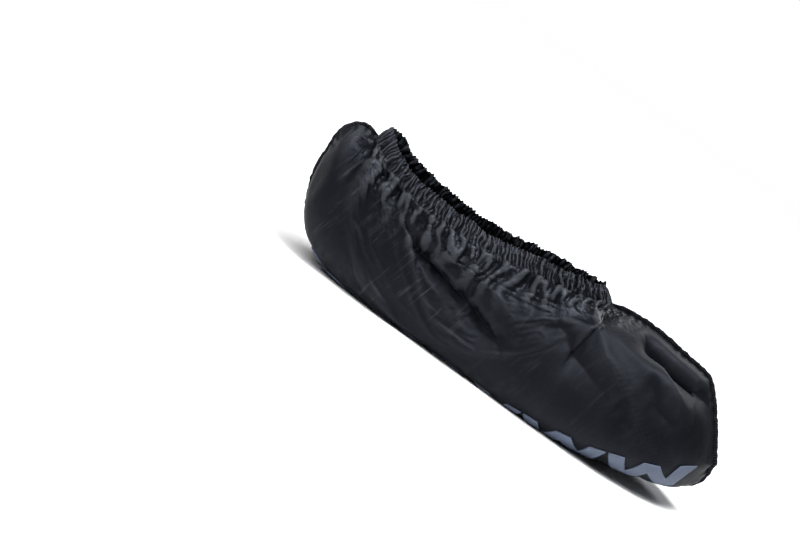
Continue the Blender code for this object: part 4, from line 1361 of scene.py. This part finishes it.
class Stage(bpy.types.Operator):
    """Sets the pale floor, the soft boxes and the camera"""

    bl_idname = "overshoe.stage"
    bl_label = "Stage"

    def execute(self, context):
        view = context.scene.overshoe_view
        bpy.ops.object.select_all(action="DESELECT")
        bpy.ops.mesh.primitive_circle_add(
            vertices=96, radius=FLOOR_RADIUS, fill_type="NGON", location=(0, 0, FLOOR_Z)
        )
        floor = context.object
        floor.name = "studio_floor"
        material, tree, shader, place = new_material("matt white vinyl")
        grain = add_node(tree, "ShaderNodeTexNoise", {"Vector": place, "Scale": 1 / 0.002})
        normal = add_node(tree, "ShaderNodeBump", {"Height": grain.outputs["Fac"], "Distance": 0.00002}).outputs[0]
        tree.links.new(normal, shader.inputs["Normal"])
        shader.inputs["Base Color"].default_value = view.floor
        shader.inputs["Roughness"].default_value = 0.8
        shader.inputs["Specular IOR Level"].default_value = 0.2
        floor.data.materials.append(material)

        world = bpy.data.worlds.new("studio")
        context.scene.world = world
        world.use_nodes = True
        nodes = world.node_tree.nodes
        background = nodes["Background"]
        background.inputs["Color"].default_value = linear("#ffffff")
        path = add_node(world.node_tree, "ShaderNodeLightPath")
        strength = add_node(
            world.node_tree, "ShaderNodeMapRange",
            {"Value": path.outputs["Is Camera Ray"], "To Min": view.surroundings, "To Max": 1.0},
        )
        world.node_tree.links.new(strength.outputs[0], background.inputs["Strength"])

        daylight = bpy.data.lights.new("even light", "SUN")
        daylight.energy = view.even_light
        daylight.angle = math.radians(60)
        made = bpy.data.objects.new("even light", daylight)
        made.rotation_euler = (math.radians(20), math.radians(-12), 0.0)
        context.scene.collection.objects.link(made)
        target = (0.0, 0.0, 0.05)
        area_light("soft box above", (0.15, -0.35, 1.25), target, (0.6, 0.45), view.top_light, (1.0, 1.0, 1.0))
        area_light("soft box in front", (-1.1, -1.0, 1.0), target, (0.5, 0.5), view.front_light, (1.0, 0.99, 0.98))
        area_light("soft box behind", (0.5, 1.3, 1.1), target, (0.9, 0.6), view.back_light, (0.97, 0.98, 1.0))

        camera = bpy.data.cameras.new("camera")
        camera.lens = view.lens
        camera.sensor_width = SENSOR_WIDE
        camera.clip_start, camera.clip_end = 0.05, 100.0
        made = bpy.data.objects.new("camera", camera)
        context.scene.collection.objects.link(made)
        elevation = view.elevation
        back = Vector((0.0, -math.cos(elevation), math.sin(elevation)))
        right = Vector((1.0, 0.0, 0.0))
        up = back.cross(right)
        roll = view.roll
        rolled_right = right * math.cos(roll) + up * math.sin(roll)
        rolled_up = up * math.cos(roll) - right * math.sin(roll)
        focal = view.lens / SENSOR_WIDE * PICTURE_WIDE
        aim_right = (VIEW_TARGET_PIXEL[0] - PICTURE_WIDE / 2) / focal
        aim_up = (PICTURE_TALL / 2 - VIEW_TARGET_PIXEL[1]) / focal
        towards = (-back - rolled_right * aim_right - rolled_up * aim_up).normalized()
        rolled_right = (rolled_right - towards * rolled_right.dot(towards)).normalized()
        rolled_up = rolled_right.cross(towards)
        made.matrix_world = Matrix.Translation(Vector(VIEW_TARGET) + back * view.distance) @ Matrix(
            (rolled_right, rolled_up, -towards)
        ).transposed().to_4x4()
        context.scene.camera = made
        context.scene.view_settings.view_transform = "Standard"
        return {"FINISHED"}


def colour_property(name, description, code):
    return bpy.props.FloatVectorProperty(
        name=name, description=description, subtype="COLOR", size=4, min=0.0, max=1.0, default=linear(code)
    )


class ClothSettings(bpy.types.PropertyGroup):
    """The cloth of the overshoe"""

    dark: colour_property("Dark", "Colour of the coated cloth where it is deepest", "#07080b")
    light: colour_property("Light", "Colour of the coated cloth where it is thinnest", "#0b0c10")
    # Worn also colours the pale streaks at the heel and the painted sheen band along the lower edge, which stands in
    # for the floor's reflection
    worn: colour_property("Worn", "Colour of the coat where creases have rubbed it", "#46494e")
    thread: colour_property("Thread", "Colour of the overlock thread", "#17181a")
    thickness: bpy.props.FloatProperty(
        name="Thickness", description="Thickness of the cloth", default=0.0007, min=0.0003, max=0.002, unit="LENGTH"
    )
    crush: bpy.props.FloatProperty(
        name="Crush", description="Depth of the small hard creases", default=0.0006, min=0.0, max=0.002, unit="LENGTH"
    )


class GripSettings(bpy.types.PropertyGroup):
    """The printed grip"""

    colour: colour_property("Colour", "Colour of the grip rubber", "#485267")
    edge: colour_property("Thin", "Colour of the grip rubber where it is printed thin", "#3d4656")
    thickness: bpy.props.FloatProperty(
        name="Thickness", description="Thickness of the print", default=GRIP_THICK, min=0.0002, max=0.002,
        unit="LENGTH",
    )


class ViewSettings(bpy.types.PropertyGroup):
    """The camera and the light"""

    floor: colour_property("Floor", "Colour of the floor", "#fcfcfc")
    lens: bpy.props.FloatProperty(name="Lens", description="Focal length in millimetres", default=84.96, min=20.0)
    distance: bpy.props.FloatProperty(
        name="Distance", description="From the camera to the overshoe", default=1.3, min=0.3, unit="LENGTH"
    )
    elevation: bpy.props.FloatProperty(
        name="Elevation", description="Height of the camera above the horizon", default=math.radians(8),
        unit="ROTATION",
    )
    roll: bpy.props.FloatProperty(
        name="Roll", description="Turn of the camera about its own line of sight", default=math.radians(34.85),
        unit="ROTATION",
    )
    surroundings: bpy.props.FloatProperty(
        name="Surroundings", description="Strength of the light from all round", default=0.08, min=0.0
    )
    even_light: bpy.props.FloatProperty(
        name="Even light", description="Strength of the wide light that whitens the floor", default=3.45, min=0.0
    )
    top_light: bpy.props.FloatProperty(
        name="Top light", description="Power of the soft box above", default=21.0, min=0.0, unit="POWER"
    )
    front_light: bpy.props.FloatProperty(
        name="Front light", description="Power of the soft box in front", default=7.0, min=0.0, unit="POWER"
    )
    back_light: bpy.props.FloatProperty(
        name="Back light", description="Power of the soft box behind", default=8.0, min=0.0, unit="POWER"
    )


GROUPS = {"overshoe_cloth": ClothSettings, "overshoe_grip": GripSettings, "overshoe_view": ViewSettings}
OPERATORS = (Stage, SideCloth, GatheredHem, OverlockedSeam, Grip)


class SidebarPanel(bpy.types.Panel):
    """The overshoe's pieces and settings"""

    bl_idname = "OVERSHOE_PT_sidebar"
    bl_label = "Overshoe"
    bl_space_type = "VIEW_3D"
    bl_region_type = "UI"
    bl_category = "Overshoe"

    def draw(self, context):
        layout = self.layout
        for operator in OPERATORS:
            layout.operator(operator.bl_idname)
        for name, group in GROUPS.items():
            box = layout.box()
            box.label(text=group.__doc__)
            for key in group.__annotations__:
                box.prop(getattr(context.scene, name), key)


def register():
    for group in GROUPS.values():
        bpy.utils.register_class(group)
    for name, group in GROUPS.items():
        setattr(bpy.types.Scene, name, bpy.props.PointerProperty(type=group))
    for operator in OPERATORS:
        bpy.utils.register_class(operator)
    bpy.utils.register_class(SidebarPanel)


def unregister():
    bpy.utils.unregister_class(SidebarPanel)
    for operator in reversed(OPERATORS):
        bpy.utils.unregister_class(operator)
    for name in GROUPS:
        delattr(bpy.types.Scene, name)
    for group in reversed(GROUPS.values()):
        bpy.utils.unregister_class(group)


def main():
    register()
    bpy.ops.overshoe.stage()
    bpy.ops.overshoe.side_cloth()
    bpy.ops.overshoe.gathered_hem()
    bpy.ops.overshoe.overlocked_seam()
    bpy.ops.overshoe.grip()


if __name__ == "__main__":
    main()
